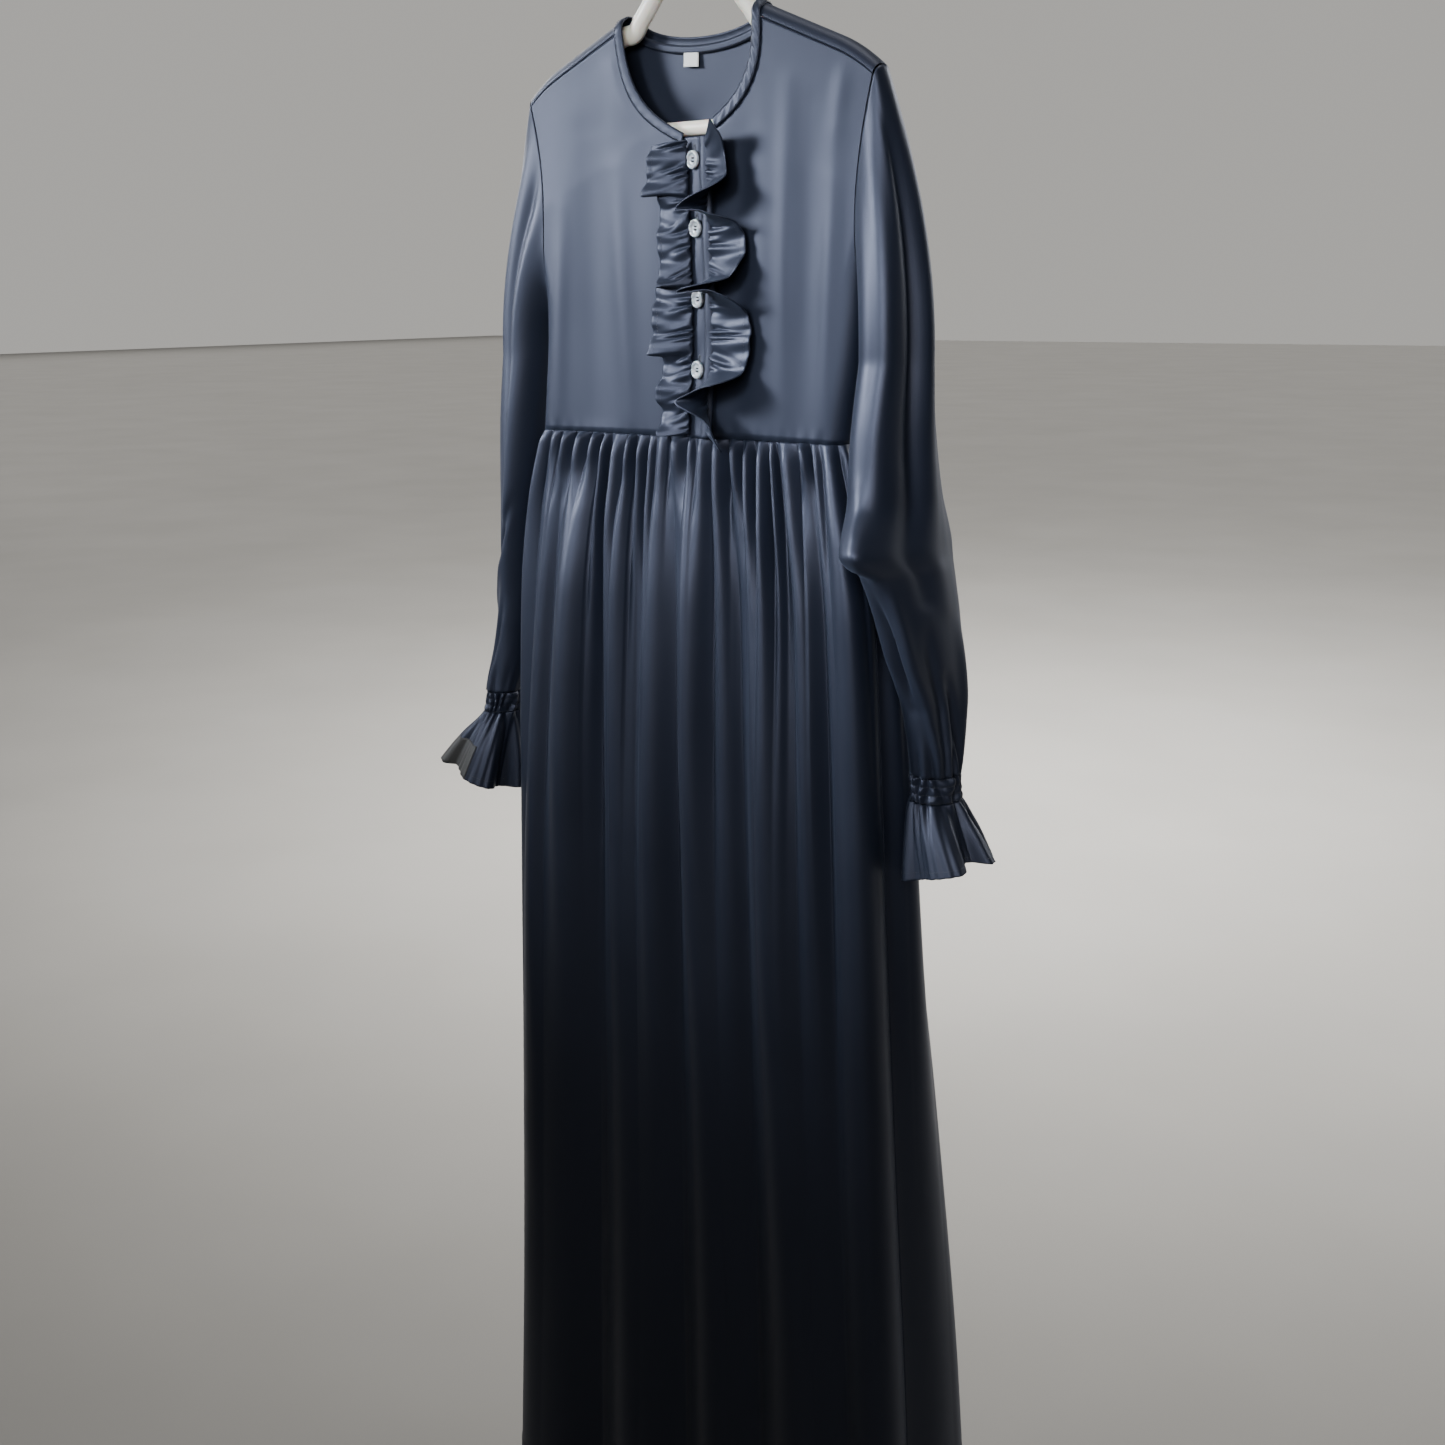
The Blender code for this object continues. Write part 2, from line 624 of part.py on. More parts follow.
def buttons(group):
    """Make the four turned buttons on the placket."""
    profile = (
        (0.0000, 0.0008),
        (0.0048, 0.0008),
        (0.0060, 0.0014),
        (0.0072, 0.0012),
        (BUTTON_RADIUS, 0.0002),
        (0.0068, -0.0012),
        (0.0000, -0.0012),
    )
    for number, drop in enumerate(BUTTON_DROPS, 1):
        mesh = bpy.data.meshes.new(f"button_{number}")
        points = [(r, 0.0, z) for r, z in profile]
        mesh.from_pydata(points, [(k, k + 1) for k in range(len(points) - 1)], [])
        item = bpy.data.objects.new(f"button_{number}", mesh)
        bpy.context.scene.collection.objects.link(item)
        screw = item.modifiers.new("turn", "SCREW")
        screw.steps = 14
        screw.render_steps = 14
        screw.use_merge_vertices = True
        screw.merge_threshold = 0.0001
        screw.use_smooth_shade = True
        z = NECK_Z - drop
        centre = band_point(BUTTON_ACROSS, z)
        over = band_point(BUTTON_ACROSS + 0.1, z) - centre
        facing = Vector((over.y, -over.x, 0.0)).normalized()
        item.location = centre + facing * BUTTON_OFF_BAND
        item.rotation_euler = facing.to_track_quat("Z", "Y").to_euler()
        finish(item, group, PEARL)


def ring_point(columns, turn, z, bulge=0.0):
    """Return a point of a sleeve section, turning from its outer side through its front."""
    centre_x, centre_y, half_x, half_y, tilt = columns
    angle = 2 * math.pi * turn
    side = 1 if centre_x > 0 else -1
    return Vector((
        centre_x + side * (half_x + bulge) * math.cos(angle),
        centre_y - (half_y + bulge) * math.sin(angle),
        z + tilt * math.cos(angle),
    ))


def sleeve(name, table, side, group):
    """Make a sleeve, from the armhole ring to the elastic."""
    head_parts = (0.0, 0.07, 0.18, 0.34, 0.55, 0.78)
    first = table[0]
    rows = []
    for part in head_parts:
        spread = 1 - (1 - part) ** 2
        row = []
        for k in range(COLUMNS_SLEEVE):
            turn = k / COLUMNS_SLEEVE
            back = turn > 0.5
            x, reach = armhole(2 * (1 - turn if back else turn), back, ARM_GAP)
            start = body_point_on(side, x, reach)
            end = ring_point(first[1:], turn, NECK_Z - first[0])
            row.append(Vector((
                start.x + (end.x - start.x) * spread,
                start.y + (end.y - start.y) * spread,
                start.z + (end.z - start.z) * part,
            )))
        rows.append(row)
    for line in table:
        rows.append([ring_point(line[1:], k / COLUMNS_SLEEVE, NECK_Z - line[0]) for k in range(COLUMNS_SLEEVE)])
    return cloth(name, rows, CLOTH, group, closed=True)


def cuff(side_name, band_table, frill_table, group):
    """Make a shirred elastic band and the ruffle below it, and return the ruffle's points."""
    count = CUFF_GATHERS * 2
    rows = []
    for line in band_table:
        z = NECK_Z - line[0]
        row = [ring_point(line[1:], k / count, z, CUFF_GATHER * (-1) ** k) for k in range(count)]
        rows.append(row)
    cloth(f"cuff_band_{side_name}", rows, CLOTH, group, closed=True)
    count = CUFF_FRILL_WAVES * 4
    length = frill_table[-1][0] - frill_table[0][0]
    rows = []
    for line in frill_table:
        part = (line[0] - frill_table[0][0]) / length
        row = []
        for k in range(count):
            wave = CUFF_FRILL_WAVE * part * math.cos(2 * math.pi * CUFF_FRILL_WAVES * k / count)
            uneven = 1 + 0.25 * math.sin(4 * math.pi * k / count + 1.0)
            row.append(ring_point(line[1:], k / count, NECK_Z - line[0], wave * uneven))
        rows.append(row)
    cloth(f"cuff_ruffle_{side_name}", rows, CLOTH, group, closed=True)
    return rows


def cuff_label(rows, group):
    """Make the bare woven label, from the ruffle's own points moved out."""
    out = CLOTH / 2 + SEAM * 2 + LABEL / 2
    label_rows = []
    for ring, above in ((rows[2], rows[1]), (rows[3], rows[2])):
        middle = sum(ring, Vector()) / len(ring)
        row = []
        for j in LABEL_COLUMNS:
            along = ring[j + 1] - ring[j - 1]
            normal = (ring[j] - above[j]).cross(along).normalized()
            if normal.dot(ring[j] - middle) < 0:
                normal = -normal
            row.append(ring[j] + normal * out)
        label_rows.append(row)
    cloth("cuff_label", label_rows, LABEL, group, LABEL_BLACK)


def half_section(half, depth, radius, part):
    """Return a point and its outward direction on half of the skirt's section.

    The part runs from 0 at the wearer's right seam to 1 at the left, and y is away from the middle.
    """
    wall = depth - radius
    corner = radius * math.pi / 2
    flat = 2 * (half - radius)
    way = part * (2 * wall + 2 * corner + flat)
    mirrored = way > wall + corner + flat / 2
    if mirrored:
        way = 2 * wall + 2 * corner + flat - way
    if way < wall:
        point, facing = (-half, way), (-1.0, 0.0)
    elif way < wall + corner:
        turn = (way - wall) / radius
        facing = (-math.cos(turn), math.sin(turn))
        point = (-half + radius + radius * facing[0], wall + radius * facing[1])
    else:
        point, facing = (-half + radius + way - wall - corner, depth), (0.0, 1.0)
    if mirrored:
        return (-point[0], point[1]), (-facing[0], facing[1])
    return point, facing


def lobes(part, valleys):
    """Return the height of a row of round folds between sharp valleys."""
    for low, high in zip(valleys, valleys[1:]):
        if part <= high:
            width = (high - low) * (len(valleys) - 1)
            return math.sin(math.pi * (part - low) / (high - low)) * min(width, 1.3)
    return 0.0


def skirt_point(part, drop, back):
    """Return a point of the skirt's cloth, from the right side seam at 0 to the left at 1."""
    values = read_table(SKIRT, drop)
    centre, half, front_depth, front_radius, back_depth, back_radius, gather, fold, sway = values
    depth, radius = (back_depth, back_radius) if back else (front_depth, front_radius)
    seam_part = SEAM / (2 * half)
    point, facing = half_section(half, depth, radius, seam_part + (1 - 2 * seam_part) * part)
    folds = BACK_FOLD_VALLEYS if back else FRONT_FOLD_VALLEYS
    sways = BACK_SWAY_VALLEYS if back else FRONT_SWAY_VALLEYS
    uneven = 0.8 + 0.3 * math.sin(9 * part + (2.0 if back else 0.6))
    gathers = BACK_GATHERS if back else FRONT_GATHERS
    at_seam = min(min(part, 1 - part) * gathers, 1.0)
    off = gather * uneven * math.cos(2 * math.pi * gathers * part) * at_seam
    off += fold * (lobes(part, folds) - 0.2 * at_seam) + sway * lobes(part, sways)
    x = centre + point[0] + facing[0] * off
    y = (point[1] + facing[1] * off) * (1 if back else -1)
    return Vector((x, y, NECK_Z - drop))


def skirt(group):
    """Make the gathered skirt's front and back."""
    drops = [line[0] for line in SKIRT]
    drops[0] += SEAM
    coarser = drops[:1] + drops[2:3] + drops[4:]
    for name, back, levels in (("skirt_front", False, drops), ("skirt_back", True, coarser)):
        columns = (BACK_GATHERS if back else FRONT_GATHERS) * COLUMNS_FOR_GATHER
        rows = [[skirt_point(k / columns, drop, back) for k in range(columns + 1)] for drop in levels]
        cloth(name, rows, CLOTH, group)


def hanger(group):
    """Make the hanger's two arms in one, the bar on its two struts, and the hook."""
    half = [(x, NECK_Z - drop) for x, drop in ARM_LINE]
    for x in (0.080, 0.105, 0.130, 0.150, 0.165, ARM_END):
        slope = (ridge(x - 0.001) - ridge(x + 0.001)) / 0.002
        below = (CLOTH / 2 + ARM_CLEARANCE + ARM_RADIUS) * math.hypot(1.0, slope)
        half.append((x, ridge(x) - below))
    line = [(-x, 0.0, z) for x, z in reversed(half[1:])] + [(x, 0.0, z) for x, z in half]
    rod("hanger_arms", line, ARM_RADIUS, group, IVORY, ARM_FLATNESS)
    bar_z = NECK_Z - BAR_DROP
    corner = [(STRUT_X, NECK_Z - STRUT_TOP_DROP)]
    for k in range(5):
        turn = math.pi / 2 * k / 4
        corner.append((
            STRUT_X - STRUT_BEND + STRUT_BEND * math.cos(turn),
            bar_z + STRUT_BEND - STRUT_BEND * math.sin(turn),
        ))
    line = [(-x, 0.0, z) for x, z in corner] + [(x, 0.0, z) for x, z in reversed(corner)]
    rod("hanger_bar", line, BAR_RADIUS, group, IVORY, BAR_FLATNESS)
    hook_radius = HOOK_INSIDE + HOOK_WIRE
    middle = -HOOK_INSIDE
    foot = NECK_Z - ARM_LINE[0][1] + ARM_RADIUS + SEAM
    line = [(0.0, 0.0, foot), (0.0, 0.0, foot + 0.006), (0.005, 0.0, foot + 0.012)]
    for k in range(15):
        turn = math.radians(-52 + 272 * k / 14)
        line.append((hook_radius * math.cos(turn), 0.0, middle + hook_radius * math.sin(turn)))
    rod("hanger_hook", line, HOOK_WIRE, group, STEEL)


def main():
    """Build the hanger, then the garment from the neck down."""
    clear_scene()
    group = new_collection(NAME)
    hanger(group)
    bodice_front(-1, group, "bodice_front_right")
    bodice_front(1, group, "bodice_front_left")
    bodice_back(group)
    neck_binding(group)
    neck_band(group)
    neck_label(group)
    placket(group)
    placket_frills(group)
    buttons(group)
    sleeve("sleeve_left", LEFT_SLEEVE, 1, group)
    sleeve("sleeve_right", RIGHT_SLEEVE, -1, group)
    cuff("left", LEFT_CUFF, LEFT_CUFF_FRILL, group)
    ruffle = cuff("right", RIGHT_CUFF, RIGHT_CUFF_FRILL, group)
    cuff_label(ruffle, group)
    skirt(group)


main()
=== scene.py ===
"""Looks of a long dark satin abaya on its moulded hanger.

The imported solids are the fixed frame.  Each sub-assembly is a class that makes the dressed form of one
part of the garment from its own sizes.  Metres, +Z up; the wearer's front faces -Y and the wearer's left
is at +X.  Heights on the garment are given as a drop below the collar level.
"""

import logging
import math
from bisect import bisect_right
from collections.abc import Sequence
from dataclasses import dataclass, field
from enum import Enum

import bmesh
import bpy
from mathutils import Matrix, Vector


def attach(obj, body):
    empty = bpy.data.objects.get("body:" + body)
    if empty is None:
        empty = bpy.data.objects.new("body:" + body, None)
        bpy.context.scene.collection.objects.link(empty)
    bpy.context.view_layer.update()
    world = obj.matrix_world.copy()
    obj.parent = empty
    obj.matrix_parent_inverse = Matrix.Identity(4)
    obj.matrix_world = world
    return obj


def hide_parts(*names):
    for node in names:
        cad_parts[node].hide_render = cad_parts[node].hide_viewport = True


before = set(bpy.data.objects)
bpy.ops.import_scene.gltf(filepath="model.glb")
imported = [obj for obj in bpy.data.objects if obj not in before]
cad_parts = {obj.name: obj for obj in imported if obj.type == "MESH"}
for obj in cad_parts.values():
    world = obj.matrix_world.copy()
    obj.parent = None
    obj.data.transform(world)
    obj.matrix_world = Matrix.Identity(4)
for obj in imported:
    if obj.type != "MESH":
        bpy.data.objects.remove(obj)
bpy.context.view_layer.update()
LOG = logging.getLogger("abaya")

ROOT = "root"
NECK_Z = -0.112  # the collar level
FLOOR_Z = -1.72
TURN = 2 * math.pi
CLOTH = 0.0012  # wall of the main cloth
FRILL = 0.0010  # wall of the placket ruffles
CUFF_CLOTH = 0.0009  # wall of the cuffs and their ruffles
SEAM = 0.0004  # gap between pieces sewn side by side
JOIN = 0.0002  # gap at the waist and at the shoulder seam
TUCK = 0.0020  # how far cloth runs on under a binding or a band

Object = bpy.types.Object
Socket = bpy.types.NodeSocket
Row = list[Vector]
Face = tuple[int, ...]
Pair = tuple[float, float]
Colour = tuple[float, float, float]


class Side(Enum):
    """The wearer's right and left, by the sign of X."""

    RIGHT = -1
    LEFT = 1


class Panel(Enum):
    """The front and the back of a piece, by the sign of Y."""

    FRONT = -1
    BACK = 1


class Profile:
    """One column of a table, read smoothly between its rows without passing them."""

    def __init__(self, places: Sequence[float], values: Sequence[float]) -> None:
        """Keep the rows and work out the slope at each.

        Args:
            places: where the rows lie, rising.
            values: the column's value at each place.
        """
        self.places = list(places)
        self.values = list(values)
        steps = [
            (b - a) / (q - p)
            for p, q, a, b in zip(places, places[1:], values, values[1:])
        ]
        self.slopes = [steps[0]]
        for before, after in zip(steps, steps[1:]):
            even = before * after > 0
            self.slopes.append(2 * before * after / (before + after) if even else 0.0)
        self.slopes.append(steps[-1])

    def at(self, place: float) -> float:
        """Return the value at a place, held at the first and last rows beyond them.

        Args:
            place: where to read.

        Returns:
            The value.
        """
        if place <= self.places[0]:
            return self.values[0]
        if place >= self.places[-1]:
            return self.values[-1]
        k = bisect_right(self.places, place) - 1
        gap = self.places[k + 1] - self.places[k]
        t = (place - self.places[k]) / gap
        rise = t * t * (3 - 2 * t)
        bend = (t * (1 - t) ** 2 * self.slopes[k] - t * t * (1 - t) * self.slopes[k + 1]) * gap
        return self.values[k] + (self.values[k + 1] - self.values[k]) * rise + bend


class Sections:
    """A short table with named columns, its first being the place of each row."""

    def __init__(self, columns: str, rows: Sequence[tuple[float, ...]]) -> None:
        """Keep one profile for each named column.

        Args:
            columns: the names of the columns after the first, with spaces between.
            rows: the table's rows.
        """
        places = [row[0] for row in rows]
        self.first, self.last = places[0], places[-1]
        names = columns.split()
        self.columns = {
            name: Profile(places, [row[k + 1] for row in rows]) for k, name in enumerate(names)
        }

    def read(self, name: str, place: float) -> float:
        """Return one column's value at a place."""
        return self.columns[name].at(place)

    def at(self, place: float) -> list[float]:
        """Return every column's value at a place, in the table's order."""
        return [profile.at(place) for profile in self.columns.values()]


@dataclass(frozen=True)
class Crease:
    """A soft ridge (height above 0) or trough (below 0) along a line on the cloth, in metres."""

    from_x: float
    from_z: float
    to_x: float
    to_z: float
    height: float
    width: float

    def off(self, x: float, z: float) -> float:
        """Return how far the crease moves the cloth out at a place on it.

        Args:
            x: the distance from the middle, or round a sleeve.
            z: the drop below the collar level.

        Returns:
            The distance out.
        """
        run_x, run_z = self.to_x - self.from_x, self.to_z - self.from_z
        way = ((x - self.from_x) * run_x + (z - self.from_z) * run_z) / (run_x**2 + run_z**2)
        inside = min(max(way, 0.0), 1.0)
        away = math.hypot(x - self.from_x - run_x * inside, z - self.from_z - run_z * inside)
        if away > 3 * self.width:
            return 0.0
        swell = 0.25 + 0.75 * math.sin(math.pi * inside)
        return self.height * swell * math.exp(-((away / self.width) ** 2))


def soft_step(value: float) -> float:
    """Return 0 to 1, eased, as the value goes from 0 to 1."""
    value = min(max(value, 0.0), 1.0)
    return value * value * (3 - 2 * value)


def uneven(number: float, seed: float = 0.0) -> float:
    """Return a fixed value between -1 and 1 that differs from one number to the next."""
    return math.sin(number * 12.9898 + seed * 78.233 + math.sin(number * 4.1 + seed) * 3.7)


def placed(name: str, data: bpy.types.ID) -> Object:
    """Return a new object in the scene that shows the data."""
    item = bpy.data.objects.new(name, data)
    bpy.context.scene.collection.objects.link(item)
    return item


def thicken(item: Object, wall: float) -> None:
    """Give a piece a wall, half on each side of its surface."""
    solid = item.modifiers.new("wall", "SOLIDIFY")
    solid.thickness = wall
    solid.offset = 0.0


def walled(name: str, points: Sequence[Vector], faces: Sequence[Face], wall: float) -> Object:
    """Make a piece of cloth with a wall, about its middle surface.

    Args:
        name: the piece's name.
        points: the points of the middle surface.
        faces: its faces, as places in points.
        wall: the cloth's thickness, or 0 for a closed solid.

    Returns:
        The new object.
    """
    mesh = bpy.data.meshes.new(name)
    mesh.from_pydata([tuple(point) for point in points], [], list(faces))
    mesh.validate()
    mesh.shade_smooth()
    item = placed(name, mesh)
    if wall > 0:
        thicken(item, wall)
    return item


def woven(name: str, rows: Sequence[Row], wall: float, closed: bool = False) -> Object:
    """Make a piece of cloth from rows of points.

    Args:
        name: the piece's name.
        rows: rows of points, all of one length.
        wall: the cloth's thickness.
        closed: whether each row runs round to its own start.

    Returns:
        The new object.
    """
    across = len(rows[0])
    faces = []
    for r in range(len(rows) - 1):
        for c in range(across if closed else across - 1):
            n = (c + 1) % across
            faces.append((r * across + c, r * across + n, (r + 1) * across + n, (r + 1) * across + c))
    return walled(name, [point for row in rows for point in row], faces, wall)


def weld(item: Object, within: float = 0.00001) -> Object:
    """Join the points of a piece that lie on each other, and return the piece.

    Args:
        item: the piece.
        within: how close two points lie to be joined.

    Returns:
        The piece.
    """
    shape = bmesh.new()
    shape.from_mesh(item.data)
    bmesh.ops.remove_doubles(shape, verts=shape.verts, dist=within)
    shape.to_mesh(item.data)
    shape.free()
    item.data.shade_smooth()
    return item


def joined(name: str, parts: Sequence[Object]) -> Object:
    """Join the meshes of several new objects into one object.

    Args:
        name: the joined object's name.
        parts: objects with no modifiers, which are used up.

    Returns:
        The joined object.
    """
    shape = bmesh.new()
    for part in parts:
        part.data.transform(part.matrix_basis)
        shape.from_mesh(part.data)
        bpy.data.objects.remove(part)
    mesh = bpy.data.meshes.new(name)
    shape.to_mesh(mesh)
    shape.free()
    mesh.shade_smooth()
    return placed(name, mesh)


def smooth_path(points: Sequence[Vector], steps: int = 8) -> list[Vector]:
    """Return a smooth path through points, with a number of steps between each two.

    Args:
        points: what it goes through.
        steps: steps between each two.

    Returns:
        The path's points.
    """
    path = []
    for k in range(len(points) - 1):
        a = points[max(k - 1, 0)]
        b, c = points[k], points[k + 1]
        d = points[min(k + 2, len(points) - 1)]
        for j in range(steps):
            t = j / steps
            bend, twist = 2 * a - 5 * b + 4 * c - d, 3 * b - a - 3 * c + d
            path.append(0.5 * (2 * b + (c - a) * t + bend * t**2 + twist * t**3))
    return path + [points[-1]]


def rod(name: str, path: Sequence[Vector], radius: float, flatness: float = 1.0, sides: int = 20) -> Object:
    """Make a rod with round ends along a path in the XZ plane.

    Args:
        name: the rod's name.
        path: points of its centre line.
        radius: half its height in the plane.
        flatness: its depth along Y as a share of its height.
        sides: points round the rod.

    Returns:
        The new object.
    """
    stations = []
    start, end = path[0] - path[1], path[-1] - path[-2]
    for k in range(5):
        turn = math.pi / 2 * k / 5
        out = math.cos(turn) * radius * 0.8
        stations.append((path[0] + start.normalized() * out, max(math.sin(turn), 0.02)))
    stations += [(point, 1.0) for point in path]
    for k in range(4, -1, -1):
        turn = math.pi / 2 * k / 5
        out = math.cos(turn) * radius * 0.8
        stations.append((path[-1] + end.normalized() * out, max(math.sin(turn), 0.02)))
    rows = []
    for k, (point, share) in enumerate(stations):
        along = (stations[min(k + 1, len(stations) - 1)][0] - stations[max(k - 1, 0)][0]).normalized()
        up = Vector((-along.z, 0.0, along.x))
        row = []
        for j in range(sides):
            turn = TURN * j / sides
            high, deep = math.cos(turn) * radius * share, math.sin(turn) * radius * flatness * share
            row.append(point + up * high + Vector((0.0, deep, 0.0)))
        rows.append(row)
    faces_end = [tuple(range(sides)), tuple(reversed(range((len(rows) - 1) * sides, len(rows) * sides)))]
    item = woven(name, rows, 0.0, closed=True)
    shape = bmesh.new()
    shape.from_mesh(item.data)
    shape.verts.ensure_lookup_table()
    for face in faces_end:
        shape.faces.new([shape.verts[k] for k in face])
    bmesh.ops.recalc_face_normals(shape, faces=shape.faces)
    shape.to_mesh(item.data)
    shape.free()
    item.data.shade_smooth()
    return item


class Finish:
    """A material built from nodes, made once and kept."""

    name: str = "finish"
    kept: dict[str, bpy.types.Material] = {}

    def material(self) -> bpy.types.Material:
        """Return the finish's material, building it the first time.

        Returns:
            The material.
        """
        if self.name not in Finish.kept:
            material = bpy.data.materials.new(self.name)
            material.use_nodes = True
            self.tree = material.node_tree
            self.shader = self.tree.nodes["Principled BSDF"]
            self.build()
            Finish.kept[self.name] = material
        return Finish.kept[self.name]

    def build(self) -> None:
        """Set the shader; each finish has its own."""
        raise NotImplementedError

    def put(self, **values: object) -> None:
        """Set the shader's own sockets, a name's underscores being spaces."""
        for name, value in values.items():
            self.shader.inputs[name.replace("_", " ")].default_value = value

    def node(self, kind: str, **values: object) -> bpy.types.Node:
        """Add a node and set its sockets by name.

        Args:
            kind: the node's type.
            values: its sockets' values.

        Returns:
            The node.
        """
        made = self.tree.nodes.new(kind)
        for name, value in values.items():
            made.inputs[name.replace("_", " ")].default_value = value
        return made

    def join(self, out: Socket, into: Socket) -> None:
        """Link one socket to another."""
        self.tree.links.new(out, into)

    def noise(self, scale: float, stretch: Colour = (1.0, 1.0, 1.0), detail: float = 3.0) -> Socket:
        """Return a noise pattern fixed to the object.

        Args:
            scale: waves for each metre.
            stretch: how much closer the pattern lies along X, Y and Z.
            detail: how many finer layers it has.

        Returns:
            The pattern's value socket.
        """
        place = self.node("ShaderNodeTexCoord")
        mapping = self.node("ShaderNodeMapping", Scale=stretch)
        pattern = self.node("ShaderNodeTexNoise", Scale=scale, Detail=detail)
        self.join(place.outputs["Object"], mapping.inputs["Vector"])
        self.join(mapping.outputs["Vector"], pattern.inputs["Vector"])
        return pattern.outputs["Fac"]

    def spread(self, value: Socket, low: float, high: float) -> Socket:
        """Return a pattern's middle values stretched between a low and a high value.

        Args:
            value: the pattern.
            low: what its low values become.
            high: what its high values become.

        Returns:
            The stretched value's socket.
        """
        ranged = self.node("ShaderNodeMapRange", From_Min=0.3, From_Max=0.7, To_Min=low, To_Max=high)
        self.join(value, ranged.inputs["Value"])
        return ranged.outputs["Result"]

    def tint(self, value: Socket, first: Colour, second: Colour) -> None:
        """Colour the surface from one colour to another along a pattern.

        Args:
            value: the pattern.
            first: the colour at its low values.
            second: the colour at its high values.
        """
        ramp = self.node("ShaderNodeValToRGB")
        ramp.color_ramp.elements[0].position = 0.3
        ramp.color_ramp.elements[0].color = (*first, 1.0)
        ramp.color_ramp.elements[1].position = 0.7
        ramp.color_ramp.elements[1].color = (*second, 1.0)
        self.join(value, ramp.inputs["Fac"])
        self.join(ramp.outputs["Color"], self.shader.inputs["Base Color"])

    def raise_by(self, patterns: Sequence[tuple[Socket, float, float]]) -> None:
        """Give the surface fine relief, from patterns with their strengths and depths in metres.

        Args:
            patterns: each pattern with its strength and depth.
        """
        last = None
        for value, strength, depth in patterns:
            bump = self.node("ShaderNodeBump", Strength=strength, Distance=depth)
            self.join(value, bump.inputs["Height"])
            if last is not None:
                self.join(last, bump.inputs["Normal"])
            last = bump.outputs["Normal"]
        self.join(last, self.shader.inputs["Normal"])


class Satin(Finish):
    """Dark smooth satin: fine upright yarns, a broad soft gloss and a faint sheen."""

    def __init__(self, name: str, deep: Colour, lit: Colour, roughness: float = 0.36) -> None:
        """Keep the satin's two close colours and how rough its gloss is.

        Args:
            name: the material's name.
            deep: the darker colour.
            lit: the lighter one.
            roughness: the gloss's roughness.
        """
        self.name = name
        self.deep = deep
        self.lit = lit
        self.roughness = roughness

    def build(self) -> None:
        """Build the satin."""
        self.put(Sheen_Weight=0.06, Sheen_Roughness=0.45, Sheen_Tint=(0.50, 0.62, 0.90, 1.0))
        self.put(Specular_IOR_Level=0.55, Specular_Tint=(0.66, 0.72, 0.98, 1.0))
        cloud = self.noise(3.5)
        self.tint(cloud, self.deep, self.lit)
        wear = self.spread(self.noise(14.0), self.roughness - 0.02, self.roughness + 0.03)
        self.join(wear, self.shader.inputs["Roughness"])
        yarns = self.noise(900.0, (3.0, 3.0, 0.6), 1.0)
        weft = self.noise(700.0, (0.5, 0.5, 4.0), 1.0)
        slack = self.noise(28.0, (1.0, 1.0, 0.35), 2.0)
        self.raise_by([(slack, 0.10, 0.004), (yarns, 0.10, 0.0002), (weft, 0.06, 0.0002)])


class Thread(Finish):
    """Matt sewing thread, twisted."""

    def __init__(self, name: str, colour: Colour) -> None:
        """Keep the thread's colour."""
        self.name = name
        self.colour = colour

    def build(self) -> None:
        """Build the thread."""
        self.put(Roughness=0.62, Sheen_Weight=0.3, Sheen_Roughness=0.4)
        twist = self.noise(2500.0, (1.0, 1.0, 1.0), 2.0)
        self.tint(twist, tuple(c * 0.6 for c in self.colour), tuple(min(c * 1.5, 1.0) for c in self.colour))
        self.raise_by([(twist, 0.3, 0.0002)])


class Moulded(Finish):
    """Cream moulded plastic with a soft satin gloss and faint handling marks."""

    name = "ivory_plastic"

    def build(self) -> None:
        """Build the plastic."""
        self.put(Subsurface_Weight=0.15, Subsurface_Scale=0.004, Specular_IOR_Level=0.5)
        self.tint(self.noise(9.0), (0.74, 0.69, 0.58), (0.82, 0.78, 0.69))
        self.join(self.spread(self.noise(60.0), 0.34, 0.46), self.shader.inputs["Roughness"])
        self.raise_by([(self.noise(220.0), 0.08, 0.0004)])


class Wire(Finish):
    """Bright plated wire with fine drawn lines."""

    name = "plated_wire"

    def build(self) -> None:
        """Build the plating."""
        self.put(Metallic=1.0)
        self.tint(self.noise(40.0), (0.55, 0.54, 0.52), (0.70, 0.69, 0.66))
        drawn = self.noise(300.0, (1.0, 1.0, 0.2))
        self.join(self.spread(drawn, 0.16, 0.30), self.shader.inputs["Roughness"])
        self.raise_by([(self.noise(900.0, (3.0, 3.0, 0.3)), 0.05, 0.0001)])


class Resin(Finish):
    """Pale grey polished resin, faintly clouded like shell."""

    name = "pale_resin"

    def build(self) -> None:
        """Build the resin."""
        self.put(Coat_Weight=0.4, Coat_Roughness=0.08, Subsurface_Weight=0.1, Subsurface_Scale=0.002)
        self.tint(self.noise(160.0, (1.0, 1.0, 2.5), 4.0), (0.24, 0.27, 0.30), (0.46, 0.50, 0.53))
        self.join(self.spread(self.noise(400.0), 0.14, 0.26), self.shader.inputs["Roughness"])
        self.raise_by([(self.noise(500.0), 0.05, 0.0001)])


